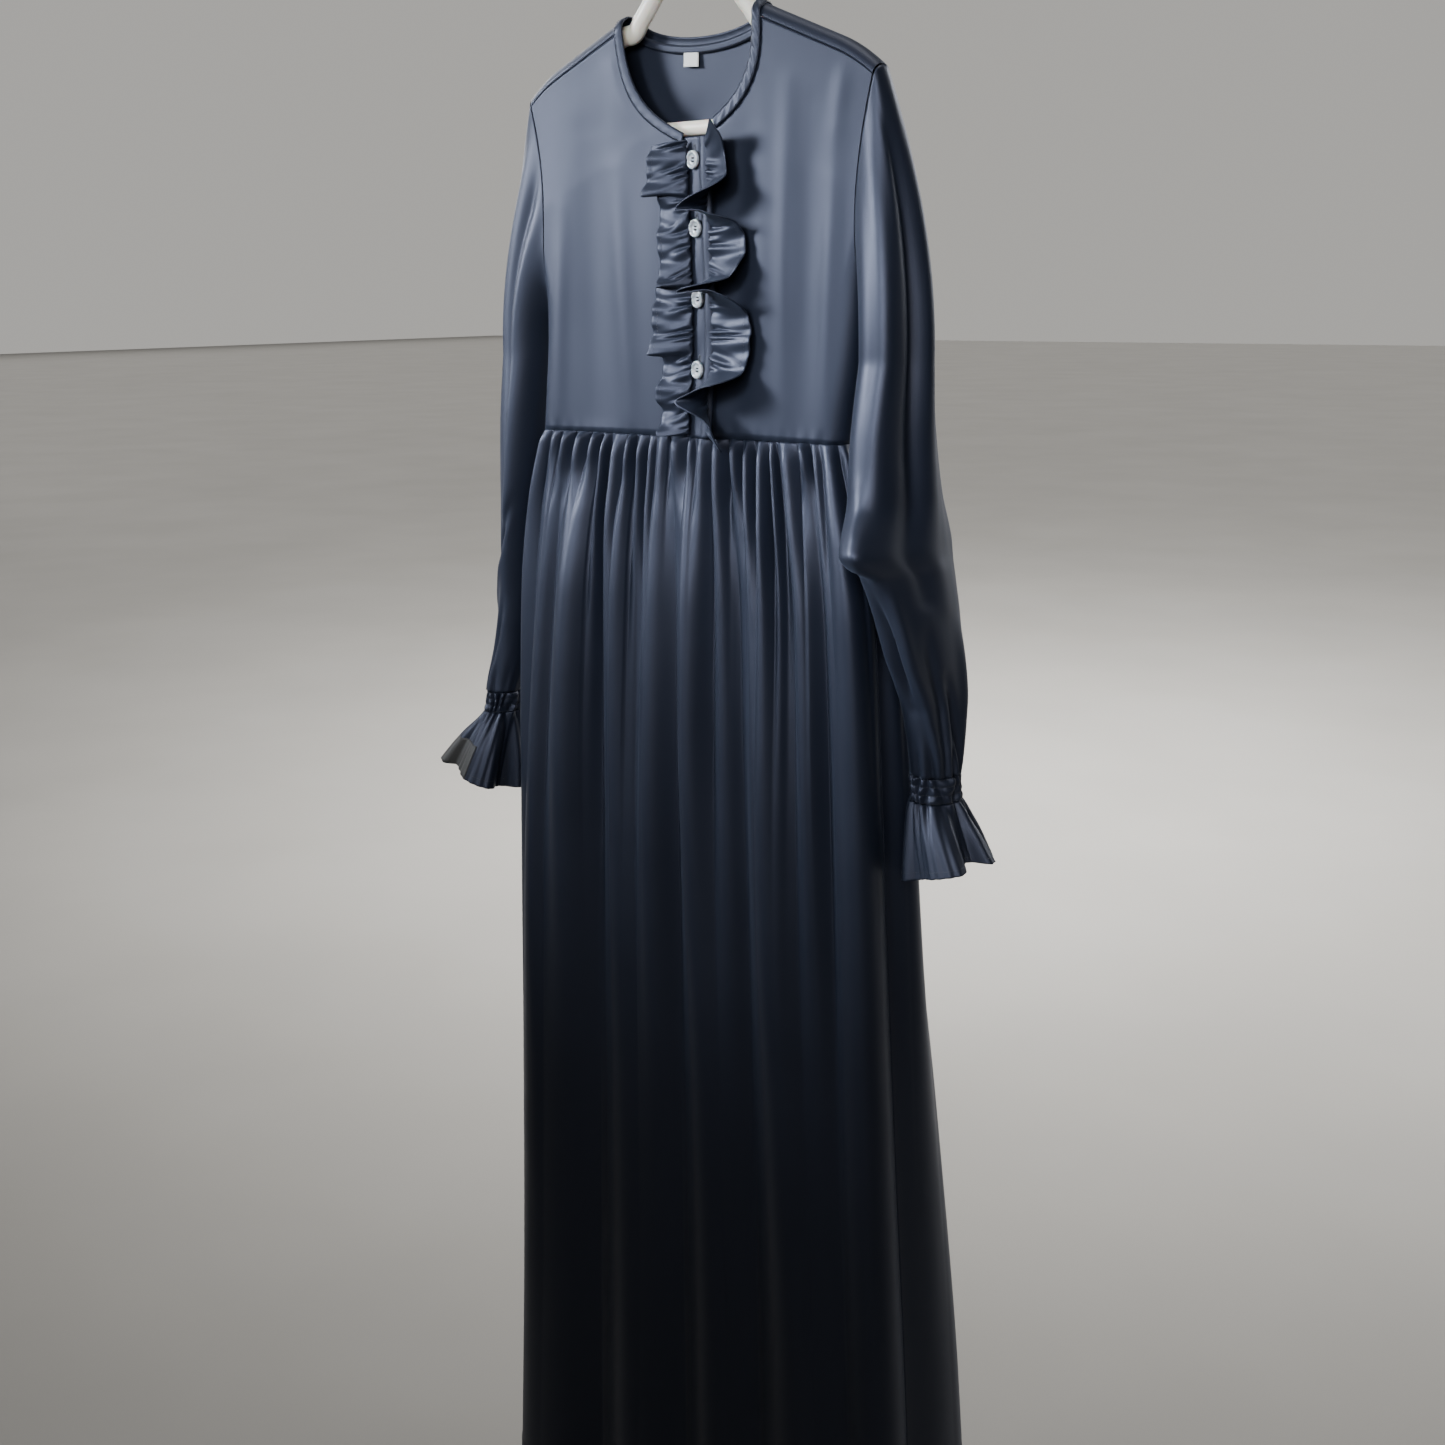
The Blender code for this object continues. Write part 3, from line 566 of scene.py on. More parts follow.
class Tape(Finish):
    """Woven label tape."""

    def __init__(self, name: str, dark: Colour, light: Colour) -> None:
        """Keep the colours of the tape's shaded and raised yarns.

        Args:
            name: the material's name.
            dark: the shaded yarns' colour.
            light: the raised yarns' colour.
        """
        self.name = name
        self.dark = dark
        self.light = light

    def build(self) -> None:
        """Build the tape."""
        self.put(Roughness=0.55, Sheen_Weight=0.2)
        rib = self.noise(1600.0, (0.4, 0.4, 3.0), 1.0)
        self.tint(rib, self.dark, self.light)
        self.raise_by([(rib, 0.35, 0.0002), (self.noise(1600.0, (3.0, 3.0, 0.4), 1.0), 0.2, 0.0002)])


class Paper(Finish):
    """The pale matt floor."""

    name = "pale_floor"

    def build(self) -> None:
        """Build the floor's surface."""
        self.put(Roughness=0.9, Specular_IOR_Level=0.2)
        self.tint(self.noise(1.5, detail=6.0), (0.44, 0.43, 0.41), (0.48, 0.47, 0.45))
        self.raise_by([(self.noise(60.0), 0.08, 0.002)])


SATIN = Satin("navy_satin", (0.0060, 0.0080, 0.0150), (0.0088, 0.0114, 0.0200), 0.49)
HEM_SATIN = Satin("navy_satin_ruffle", (0.0060, 0.0080, 0.0150), (0.0088, 0.0114, 0.0200), 0.50)
NAVY_THREAD = Thread("navy_thread", (0.012, 0.016, 0.028))
DARK_THREAD = Thread("button_thread", (0.010, 0.012, 0.018))
IVORY = Moulded()
WIRE = Wire()
RESIN = Resin()
WHITE_TAPE = Tape("white_tape", (0.62, 0.62, 0.60), (0.86, 0.86, 0.84))
BLACK_TAPE = Tape("black_tape", (0.010, 0.010, 0.0095), (0.022, 0.0215, 0.0205))
FLOOR = Paper()


def dress(item: Object, finish: Finish, slot: str, *nodes: str) -> Object:
    """Give a piece its finish, set it on the body and hide the CAD nodes that it stands for.

    Args:
        item: the piece.
        finish: its finish.
        slot: the record's material slot; not used.
        nodes: the CAD nodes that it replaces.

    Returns:
        The piece.
    """
    item.data.materials.clear()
    item.data.materials.append(finish.material())
    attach(item, ROOT)
    if nodes:
        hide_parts(*nodes)
    LOG.info("made %s, with %d points", item.name, len(item.data.vertices))
    return item


@dataclass
class StitchLine:
    """Rows of machine stitches, gathered into one piece."""

    name: str
    pitch: float = 0.0030
    length: float = 0.0022
    radius: float = 0.00022
    points: list[Vector] = field(default_factory=list)
    faces: list[Face] = field(default_factory=list)

    def run(self, path: Sequence[Vector]) -> None:
        """Add stitches along a path that lies on the cloth's face.

        Args:
            path: the path's points.
        """
        ways = [0.0]
        for a, b in zip(path, path[1:]):
            ways.append(ways[-1] + (b - a).length)
        way = self.pitch / 2
        k = 0
        while way < ways[-1] - self.length / 2:
            while ways[k + 1] < way:
                k += 1
            along = (path[k + 1] - path[k]).normalized()
            self.stitch(path[k] + along * (way - ways[k]), along)
            way += self.pitch

    def stitch(self, middle: Vector, along: Vector) -> None:
        """Add one stitch: a short thread, thin at both ends.

        Args:
            middle: its middle.
            along: the way it lies.
        """
        aside = along.cross(Vector((0.31, 0.87, 0.39))).normalized()
        other = along.cross(aside)
        start = len(self.points)
        sides = 5
        for place, share in ((-0.5, 0.35), (-0.25, 1.0), (0.25, 1.0), (0.5, 0.35)):
            for j in range(sides):
                turn = TURN * j / sides
                off = (aside * math.cos(turn) + other * math.sin(turn)) * self.radius * share
                self.points.append(middle + along * place * self.length + off)
        for ring in range(3):
            for j in range(sides):
                n = (j + 1) % sides
                low, high = start + ring * sides, start + (ring + 1) * sides
                self.faces.append((low + j, low + n, high + n, high + j))
        self.faces.append(tuple(start + j for j in reversed(range(sides))))
        self.faces.append(tuple(start + 3 * sides + j for j in range(sides)))

    def sew(self, finish: Finish = NAVY_THREAD) -> Object:
        """Make the piece from all the stitches added."""
        return dress(walled(self.name, self.points, self.faces, 0.0), finish, "satin")


@dataclass
class BodyForm:
    """The general shape above the waist, on which every piece of the bodice is laid."""

    neck_point: float = 0.008
    neck_half: float = 0.070
    shoulder_half: float = 0.187
    shoulder_slope: float = 0.43
    shoulder_round_from: float = 0.150
    shoulder_round: float = 6.0
    ridge_radius: float = 0.011
    shoulder_seam: float = 0.017
    front_neck_drop: float = 0.094
    back_neck_drop: float = 0.012
    front_neck_curve: float = 1.45
    binding: float = 0.0085
    underarm_drop: float = 0.235
    armhole_hollow: float = 0.010
    waist_drop: float = 0.348
    level_rows_from: float = 0.200
    band_half: float = 0.0140
    band_left_of_neck: float = 0.010
    band_left_of_waist: float = 0.024
    sections: Sections = field(default_factory=lambda: Sections(
        "centre half front back",
        (
            (0.000, -0.002, 0.205, 0.011, 0.011),
            (0.045, 0.001, 0.203, 0.012, 0.012),
            (0.100, 0.002, 0.200, 0.013, 0.014),
            (0.235, 0.000, 0.174, 0.015, 0.018),
            (0.348, -0.012, 0.171, 0.015, 0.018),
        ),
    ))

    @property
    def over(self) -> float:
        """How much longer the way over the rounded ridge is than the drop."""
        return self.ridge_radius * (math.pi / 2 - 1)

    @property
    def waist(self) -> float:
        """The height of the bodice's lower edge."""
        return NECK_Z - self.waist_drop + JOIN / 2

    def ridge(self, x: float) -> float:
        """Return the height of the shoulder ridge at a distance from the middle."""
        rounding = self.shoulder_round * max(abs(x) - self.shoulder_round_from, 0.0) ** 2
        return NECK_Z + self.neck_point - self.shoulder_slope * (abs(x) - self.neck_half) - rounding

    def reach_to(self, x: float, z: float) -> float:
        """Return how far along the cloth a height lies from the ridge."""
        return self.ridge(x) + self.over - z

    def centre(self, z: float) -> float:
        """Return where the bodice's middle hangs at a height."""
        return self.sections.read("centre", NECK_Z - z)

    def depth(self, x: float, z: float, panel: Panel, lift: float = 0.0) -> float:
        """Return how far the cloth stands off the middle plane.

        Args:
            x: the distance from the bodice's middle.
            z: the height.
            panel: front or back.
            lift: how far out of the cloth the point lies.

        Returns:
            The depth, rounded in toward the side seam.
        """
        drop = NECK_Z - z
        half = self.sections.read("half", drop)
        full = self.sections.read("back" if panel is Panel.BACK else "front", drop)
        fall = min(max((self.ridge(x) - self.ridge_radius - z) / 0.10, 0.0), 1.0)
        depth = self.ridge_radius + (full - self.ridge_radius) * fall
        past = abs(x) - (half - depth)
        if past > 0:
            return math.sqrt(max((depth + lift) ** 2 - past**2, 0.0))
        return depth + lift

    def point(self, x: float, reach: float, lift: float = 0.0, side: Side = Side.LEFT) -> Vector:
        """Return a point of the bodice's cloth.

        Args:
            x: the distance from the middle.
            reach: the way along the cloth from the shoulder ridge, minus in front and plus behind.
            lift: how far out of the cloth the point lies.
            side: the side of the garment.

        Returns:
            The point, in the row's frame.
        """
        panel = Panel.BACK if reach > 0 else Panel.FRONT
        if abs(reach) < self.ridge_radius * math.pi / 2:
            turn = abs(reach) / self.ridge_radius
            y = (self.ridge_radius + lift) * math.sin(turn)
            z = self.ridge(x) - self.ridge_radius + (self.ridge_radius + lift) * math.cos(turn)
        else:
            z = self.ridge(x) + self.over - abs(reach)
            y = self.depth(x, z, panel, lift)
        return Vector((side.value * x + self.centre(z), panel.value * y, z))

    def neck_edge(self, part: float, panel: Panel, out: float) -> Pair:
        """Return x and reach on the neck's edge.

        Args:
            part: 0 at the ridge, 1 at the middle.
            panel: front or back.
            out: how far outside the edge.

        Returns:
            The distance from the middle and the reach.
        """
        if panel is Panel.BACK:
            turn = math.pi / 2 * part
            x = (self.neck_half + out) * math.cos(turn)
            reach = self.reach_to(x, NECK_Z - (self.back_neck_drop + out) * math.sin(turn))
            return x, reach - self.reach_to(self.neck_half + out, NECK_Z) * (1 - part) ** 2
        full = self.reach_to(0.0, NECK_Z - self.front_neck_drop) + out
        x = (self.neck_half + out) * math.cos(math.pi / 2 * part**self.front_neck_curve)
        return x, -full * part

    def neck_part(self, reach: float, panel: Panel, out: float) -> float:
        """Return the part of the neck's edge at which the cloth has come a way from the ridge.

        Args:
            reach: the way from the ridge.
            panel: front or back.
            out: how far outside the edge.

        Returns:
            The part, 0 at the ridge and 1 at the middle.
        """
        low, high = 0.0, 1.0
        for _ in range(30):
            middle = (low + high) / 2
            short = abs(self.neck_edge(middle, panel, out)[1]) < reach
            low, high = (middle, high) if short else (low, middle)
        return low

    def underarm_half(self) -> float:
        """Return the body's half width at the underarm."""
        return self.sections.read("half", self.underarm_drop)

    def armhole(self, part: float, panel: Panel, out: float = 0.0) -> Pair:
        """Return x and reach on the armhole, from the ridge at 0 to the underarm at 1.

        Args:
            part: how far down.
            panel: front or back.
            out: how far outside the edge.

        Returns:
            The distance from the middle and the reach.
        """
        half = self.underarm_half()
        full = self.reach_to(half, NECK_Z - self.underarm_drop)
        hollow = self.armhole_hollow * math.sin(math.pi * part)
        x = self.shoulder_half + (half - self.shoulder_half) * part - hollow
        return x + out, panel.value * full * part

    def side_seam(self, z: float, panel: Panel) -> Pair:
        """Return x and reach on the side seam, half a seam short of it.

        Args:
            z: the height.
            panel: front or back.

        Returns:
            The distance from the middle and the reach.
        """
        half = self.sections.read("half", NECK_Z - z)
        depth = self.sections.read("back" if panel is Panel.BACK else "front", NECK_Z - z)
        x = half - depth + math.sqrt(depth**2 - SEAM**2)
        return x, self.reach_to(x, z) * panel.value

    def outer_edge(self, panel: Panel, seam_rows: int, arm_rows: int) -> list[Pair]:
        """Return x and reach up the side seam and then up the armhole, short of the ridge.

        Args:
            panel: front or back.
            seam_rows: rows up the seam.
            arm_rows: rows up the armhole.

        Returns:
            The places, from the waist.
        """
        underarm = NECK_Z - self.underarm_drop
        edge = []
        for k in range(seam_rows):
            edge.append(self.side_seam(self.waist + (underarm - self.waist) * k / seam_rows, panel))
        edge.append(self.armhole(0.995, panel))
        return edge + [self.armhole(k / arm_rows, panel) for k in range(arm_rows - 1, 0, -1)]

    def band_centre(self, z: float) -> float:
        """Return how far left of the bodice's middle the placket lies.

        Args:
            z: the height.

        Returns:
            The distance.
        """
        part = (NECK_Z - z - self.front_neck_drop) / (self.waist_drop - self.front_neck_drop)
        part = min(max(part, 0.0), 1.0)
        return self.band_left_of_neck + (self.band_left_of_waist - self.band_left_of_neck) * part

    def between(self, inner: Pair, outer: Pair, part: float) -> Pair:
        """Return x and reach at a part of the way across a row.

        Args:
            inner: x and reach of the row's inner end.
            outer: x and reach of its outer end.
            part: how far across, from 0 to 1.

        Returns:
            x and reach: a low row keeps its height, a row at the shoulder its way from the ridge.
        """
        level = math.copysign(min(abs(inner[1]) / self.level_rows_from, 1.0), inner[1])
        x = inner[0] + (outer[0] - inner[0]) * part
        reach = inner[1] + (outer[1] - inner[1]) * part
        chord = self.ridge(inner[0]) + (self.ridge(outer[0]) - self.ridge(inner[0])) * part
        return x, reach + level * (self.ridge(x) - chord)


BODY = BodyForm()


@dataclass
class Bodice:
    """The two fronts and the back, which passes over the shoulders to a seam in front."""

    columns: int = 46
    seam_rows: int = 26
    arm_rows: int = 56
    low_rows: int = 40
    edge_fade: float = 0.10
    seam_fade: int = 8
    pucker: float = 0.0007
    pucker_pitch: float = 0.0136
    over_rows: int = 16
    stitch_off: float = 0.0020
    right_folds: tuple[Crease, ...] = (
        Crease(-0.080, 0.120, -0.067, 0.352, 0.0022, 0.0110),
        Crease(-0.112, 0.090, -0.104, 0.345, -0.0030, 0.0220),
        Crease(-0.146, 0.150, -0.159, 0.352, 0.0020, 0.0090),
        Crease(-0.046, 0.130, -0.030, 0.345, 0.0006, 0.0130),
        Crease(-0.090, 0.020, -0.060, 0.090, 0.0008, 0.0120),
    )
    left_folds: tuple[Crease, ...] = (
        Crease(0.104, 0.060, 0.101, 0.352, 0.0020, 0.0090),
        Crease(0.060, 0.100, 0.052, 0.345, -0.0016, 0.0130),
        Crease(0.082, 0.080, 0.078, 0.350, 0.0010, 0.0150),
        Crease(0.128, 0.080, 0.122, 0.350, -0.0016, 0.0130),
        Crease(0.152, 0.100, 0.143, 0.350, 0.0020, 0.0090),
        Crease(0.160, 0.035, 0.150, 0.110, 0.0010, 0.0080),
    )
    back_folds: tuple[Crease, ...] = (
        Crease(-0.110, 0.060, -0.098, 0.352, 0.0030, 0.0140),
        Crease(-0.066, 0.080, -0.060, 0.345, -0.0026, 0.0180),
        Crease(-0.010, 0.080, -0.018, 0.350, 0.0024, 0.0170),
        Crease(0.044, 0.080, 0.034, 0.350, -0.0028, 0.0180),
        Crease(0.088, 0.060, 0.080, 0.352, 0.0030, 0.0140),
        Crease(0.134, 0.110, 0.126, 0.350, -0.0024, 0.0140),
        Crease(-0.146, 0.120, -0.150, 0.350, -0.0022, 0.0140),
    )

    def laid(self, x: float, reach: float, side: Side, fade: float) -> Vector:
        """Return a point of the cloth with its folds, faded toward the piece's edges.

        Args:
            x: the distance from the middle.
            reach: the way from the ridge.
            side: right or left.
            fade: how much of the folds is left.

        Returns:
            The point.
        """
        flat = BODY.point(x, reach, 0.0, side)
        folds = self.back_folds
        if reach < 0:
            folds = self.left_folds if side is Side.LEFT else self.right_folds
        off = sum(fold.off(flat.x, NECK_Z - flat.z) for fold in folds)
        near_waist = soft_step((flat.z - BODY.waist) / 0.012)
        beat = flat.x * TURN / self.pucker_pitch + 1.3 * math.sin(flat.x * 61)
        pucker = self.pucker * (1 - near_waist) * math.cos(beat)
        off = off * fade * (0.35 + 0.65 * near_waist) + pucker * fade
        return BODY.point(x, reach, off, side)

    def across(self, inner: Pair, outer: Pair, side: Side, fade: float, cut: float = 1.0) -> Row:
        """Return a row of the cloth, its points closer together toward the outer end.

        Args:
            inner: x and reach of its inner end.
            outer: x and reach of its outer end.
            side: right or left.
            fade: how much of the folds is left.
            cut: 1 where the inner end is an edge, 0 where folds run on through the middle.

        Returns:
            The row.
        """
        row = []
        for k in range(self.columns + 1):
            part = math.sin(math.pi / 2 * k / self.columns)
            x, reach = BODY.between(inner, outer, part)
            at_inner = 1 - cut * (1 - soft_step(part / self.edge_fade))
            at_outer = soft_step((1 - part) / self.edge_fade)
            row.append(self.laid(x, reach, side, at_outer * at_inner * fade))
        return row

    def front(self, side: Side) -> Object:
        """Make one half of the front, and return it.

        Args:
            side: right or left.

        Returns:
            The piece.
        """
        neck_rows = self.seam_rows + self.arm_rows + 1 - self.low_rows
        out = BODY.binding - TUCK
        edge = BODY.band_half - TUCK / 2
        corner_x = BODY.band_left_of_neck * side.value + edge
        corner = (math.acos(corner_x / (BODY.neck_half + out)) * 2 / math.pi) ** (1 / BODY.front_neck_curve)
        corner_z = BODY.ridge(corner_x) + BODY.over + BODY.neck_edge(corner, Panel.FRONT, out)[1]
        inner = []
        for k in range(self.low_rows):
            z = BODY.waist + (corner_z - BODY.waist) * k / self.low_rows
            x = BODY.band_centre(z) * side.value + edge
            inner.append((x, -BODY.reach_to(x, z)))
        top = BODY.neck_part(BODY.shoulder_seam, Panel.FRONT, out)
        for k in range(neck_rows):
            inner.append(BODY.neck_edge(corner + (top - corner) * k / (neck_rows - 1), Panel.FRONT, out))
        outer = BODY.outer_edge(Panel.FRONT, self.seam_rows, self.arm_rows)
        full = abs(BODY.armhole(1.0, Panel.FRONT)[1])
        outer.append(BODY.armhole(BODY.shoulder_seam / full, Panel.FRONT))
        outer = [place for place in outer if abs(place[1]) >= BODY.shoulder_seam - 1e-6]
        inner = self.respaced(inner, len(outer))
        rows = []
        for k, (a, b) in enumerate(zip(inner, outer)):
            rows.append(self.across(a, b, side, soft_step((len(outer) - 1 - k) / self.seam_fade)))
        return woven(f"front_{side.name.lower()}", rows, CLOTH)

    @staticmethod
    def respaced(edge: list[Pair], count: int) -> list[Pair]:
        """Return an edge's places respaced to a number of rows.

        Args:
            edge: the places.
            count: how many rows.

        Returns:
            The new places.
        """
        respaced = []
        for k in range(count):
            place = k * (len(edge) - 1) / (count - 1)
            low = min(int(place), len(edge) - 2)
            part = place - low
            a, b = edge[low], edge[low + 1]
            respaced.append((a[0] + (b[0] - a[0]) * part, a[1] + (b[1] - a[1]) * part))
        return respaced

    def back(self) -> Object:
        """Make the back, and return it.

        Returns:
            The piece.
        """
        out = BODY.binding - TUCK
        low_rows = self.low_rows + 12
        neck_rows = self.seam_rows + self.arm_rows - low_rows
        middle = BODY.ridge(0.0) + BODY.over - BODY.neck_edge(1.0, Panel.BACK, out)[1]
        inner = []
        for k in range(low_rows):
            inner.append((0.0, BODY.reach_to(0.0, BODY.waist + (middle - BODY.waist) * k / low_rows)))
        reaches = [BODY.shoulder_seam * (1 - 2 * k / self.over_rows) for k in range(self.over_rows)]
        reaches.append(JOIN - BODY.shoulder_seam)
        last = BODY.neck_part(reaches[0], Panel.BACK, out)
        for k in range(neck_rows):
            inner.append(BODY.neck_edge(1.0 + (last - 1.0) * k / neck_rows, Panel.BACK, out))
        outer = BODY.outer_edge(Panel.BACK, self.seam_rows, self.arm_rows)
        full = abs(BODY.armhole(1.0, Panel.BACK)[1])
        outer = [place for place in outer if place[1] > BODY.shoulder_seam + 0.001]
        inner = self.respaced(inner, len(outer))
        for reach in reaches:
            panel = Panel.BACK if reach > 0 else Panel.FRONT
            inner.append(BODY.neck_edge(BODY.neck_part(abs(reach), panel, out), panel, out))
            outer.append(BODY.armhole(abs(reach) / full, panel))
        halves = []
        for side in Side:
            rows = []
            for k, (a, b) in enumerate(zip(inner, outer)):
                level = BODY.point(*a).z
                cut = soft_step((level - middle) / 0.02)
                fade = soft_step((len(outer) - self.over_rows - k) / self.seam_fade)
                rows.append(self.across(a, b, side, fade, cut))
            if side is Side.RIGHT:
                rows = [list(reversed(row)) for row in rows]
            halves.append(woven(f"back_{side.name.lower()}", rows, 0.0))
        item = weld(joined("back", halves))
        thicken(item, CLOTH)
        return item

    def seam_stitches(self) -> StitchLine:
        """Return the stitches beside the shoulder seams.

        Returns:
            The stitches.
        """
        sewn = StitchLine("shoulder_stitches", pitch=0.0032, radius=0.00020)
        full = abs(BODY.armhole(1.0, Panel.FRONT)[1])
        reach = BODY.shoulder_seam - self.stitch_off
        out = BODY.binding - TUCK
        inner = BODY.neck_edge(BODY.neck_part(reach, Panel.FRONT, out), Panel.FRONT, out)
        outer = BODY.armhole(reach / full, Panel.FRONT)
        for side in Side:
            path = []
            for k in range(41):
                x, way = BODY.between(inner, outer, 0.04 + 0.93 * k / 40)
                path.append(BODY.point(x, way, CLOTH / 2 + 0.0001, side))
            sewn.run(path)
        return sewn

    def build(self) -> None:
        """Make and dress the bodice."""
        stitches = self.seam_stitches().sew()
        right = dress(self.front(Side.RIGHT), SATIN, "satin", "bodice_front_right")
        left = dress(self.front(Side.LEFT), SATIN, "satin", "bodice_front_left")
        back = dress(self.back(), SATIN, "satin", "bodice_back")


@dataclass
class NeckFinish:
    """The binding round the neck, the facing band behind, and the bare size label."""

    width: float = BODY.binding
    lift: float = 0.0014
    wrinkle: float = 0.00030
    faint_wrinkle: float = 0.00008
    wrinkle_pitch: float = 0.0105
    band_from: float = 0.0070
    band_to: float = 0.0140
    front_stations: int = 110
    back_stations: int = 60
    across: int = 6
    label_width: float = 0.0160
    label_height: float = 0.0115
    label_drop: float = 0.0245
    label_left: float = -0.0110

    def stations(self) -> list[tuple[Side, Panel, float]]:
        """Return the places round the neck, from the placket's right edge to its left.

        Returns:
            The side, the panel and the part of the neck's edge at each.
        """
        found = []
        stops = (
            (Side.RIGHT, BODY.band_half + SEAM - BODY.band_left_of_neck, BODY.neck_half + self.width),
            (Side.LEFT, BODY.band_half + SEAM * 3 + BODY.band_left_of_neck, BODY.neck_half),
        )
        for side, beside, radius in stops:
            end = (math.acos(beside / radius) * 2 / math.pi) ** (1 / BODY.front_neck_curve) * 0.99
            count = self.front_stations
            half = [(side, Panel.FRONT, end * (1 - k / count)) for k in range(count)]
            half += [(side, Panel.BACK, k / self.back_stations) for k in range(self.back_stations)]
            found.append(half)
        return found[0] + [(Side.LEFT, Panel.BACK, 1.0)] + list(reversed(found[1]))

    def binding(self) -> Object:
        """Make the rolled binding, drawn into slanting wrinkles where the bias cloth twists.

        Returns:
            The piece.
        """
        rows = []
        way = 0.0
        before = None
        for side, panel, part in self.stations():
            middle = BODY.point(*BODY.neck_edge(part, panel, self.width / 2), 0.0, side)
            way += 0.0 if before is None else (middle - before).length
            before = middle
            twisted = self.wrinkle if side is Side.LEFT and panel is Panel.FRONT else self.faint_wrinkle
            row = []
            for k in range(self.across + 1):
                place = k / self.across
                x, reach = BODY.neck_edge(part, panel, self.width * place)
                roll = 0.0016 * math.sin(math.pi * (0.12 + 0.88 * place) ** 0.8)
                turns = way / self.wrinkle_pitch - place * 0.9
                slant = twisted * math.sin(TURN * turns + uneven(int(way / 0.04)))
                row.append(BODY.point(x, reach, self.lift * place + roll * 0.6 + slant, side))
            rows.append(row)
        return woven("neck_binding_roll", rows, 0.0014)

    def strip(self, name: str, start: float, stop: float, lift: float, wall: float) -> Object:
        """Make a strip that follows the back neck.

        Args:
            name: the strip's name.
            start: how far below the neck's edge it starts.
            stop: how far below it ends.
            lift: how far out of the back's cloth it lies, minus being inside.
            wall: its thickness.

        Returns:
            The strip.
        """
        rows = []
        parts = [(Side.RIGHT, 0.22 + 0.78 * k / 40) for k in range(40)]
        parts += [(Side.LEFT, 1.0 - 0.78 * k / 40) for k in range(41)]
        for side, part in parts:
            row = []
            for k in range(4):
                x, reach = BODY.neck_edge(part, Panel.BACK, start + (stop - start) * k / 3)
                row.append(BODY.point(x, reach, lift, side))
            rows.append(row)
        return woven(name, rows, wall)

    def stitches(self) -> StitchLine:
        """Return the stitches at the binding's lower edge and at the facing's.

        Returns:
            The stitches.
        """
        sewn = StitchLine("neck_stitches")
        path = []
        for side, panel, part in self.stations():
            x, reach = BODY.neck_edge(part, panel, self.width * 0.86)
            path.append(BODY.point(x, reach, self.lift + 0.0013, side))
        sewn.run(path)
        path = []
        for side, low, high in ((Side.RIGHT, 0.24, 1.0), (Side.LEFT, 1.0, 0.24)):
            for k in range(40):
                part = low + (high - low) * k / 39
                x, reach = BODY.neck_edge(part, Panel.BACK, self.band_to - 0.0014)
                path.append(BODY.point(x, reach, -0.0028, side))
        sewn.run(path)
        return sewn

    def label(self) -> Object:
        """Make the bare size label, which hangs a little crooked from the facing.

        Returns:
            The piece.
        """
        rows = []
        for r in range(9):
            down = r / 8
            row = []
            for c in range(9):
                aside = c / 8 - 0.5
                x = self.label_left + self.label_width * aside - 0.0008 * down
                z = NECK_Z - self.label_drop - self.label_height * down - 0.0010 * aside
                curl = 0.0008 * down**2 + 0.0003 * math.sin(math.pi * (aside + 0.5))
                y = BODY.depth(abs(x), z, Panel.BACK) - 0.0030 - curl
                row.append(Vector((x + BODY.centre(z), y, z)))
            rows.append(row)
        return woven("size_label", rows, 0.0005)

    def build(self) -> None:
        """Make and dress the neck's pieces."""
        stitches = self.stitches().sew()
        binding = dress(self.binding(), SATIN, "satin", "neck_binding")
        facing = self.strip("neck_facing", self.band_from, self.band_to, -0.0020, 0.0008)
        dress(facing, SATIN, "satin", "neck_band")
        label = dress(self.label(), WHITE_TAPE, "label_white", "neck_label")


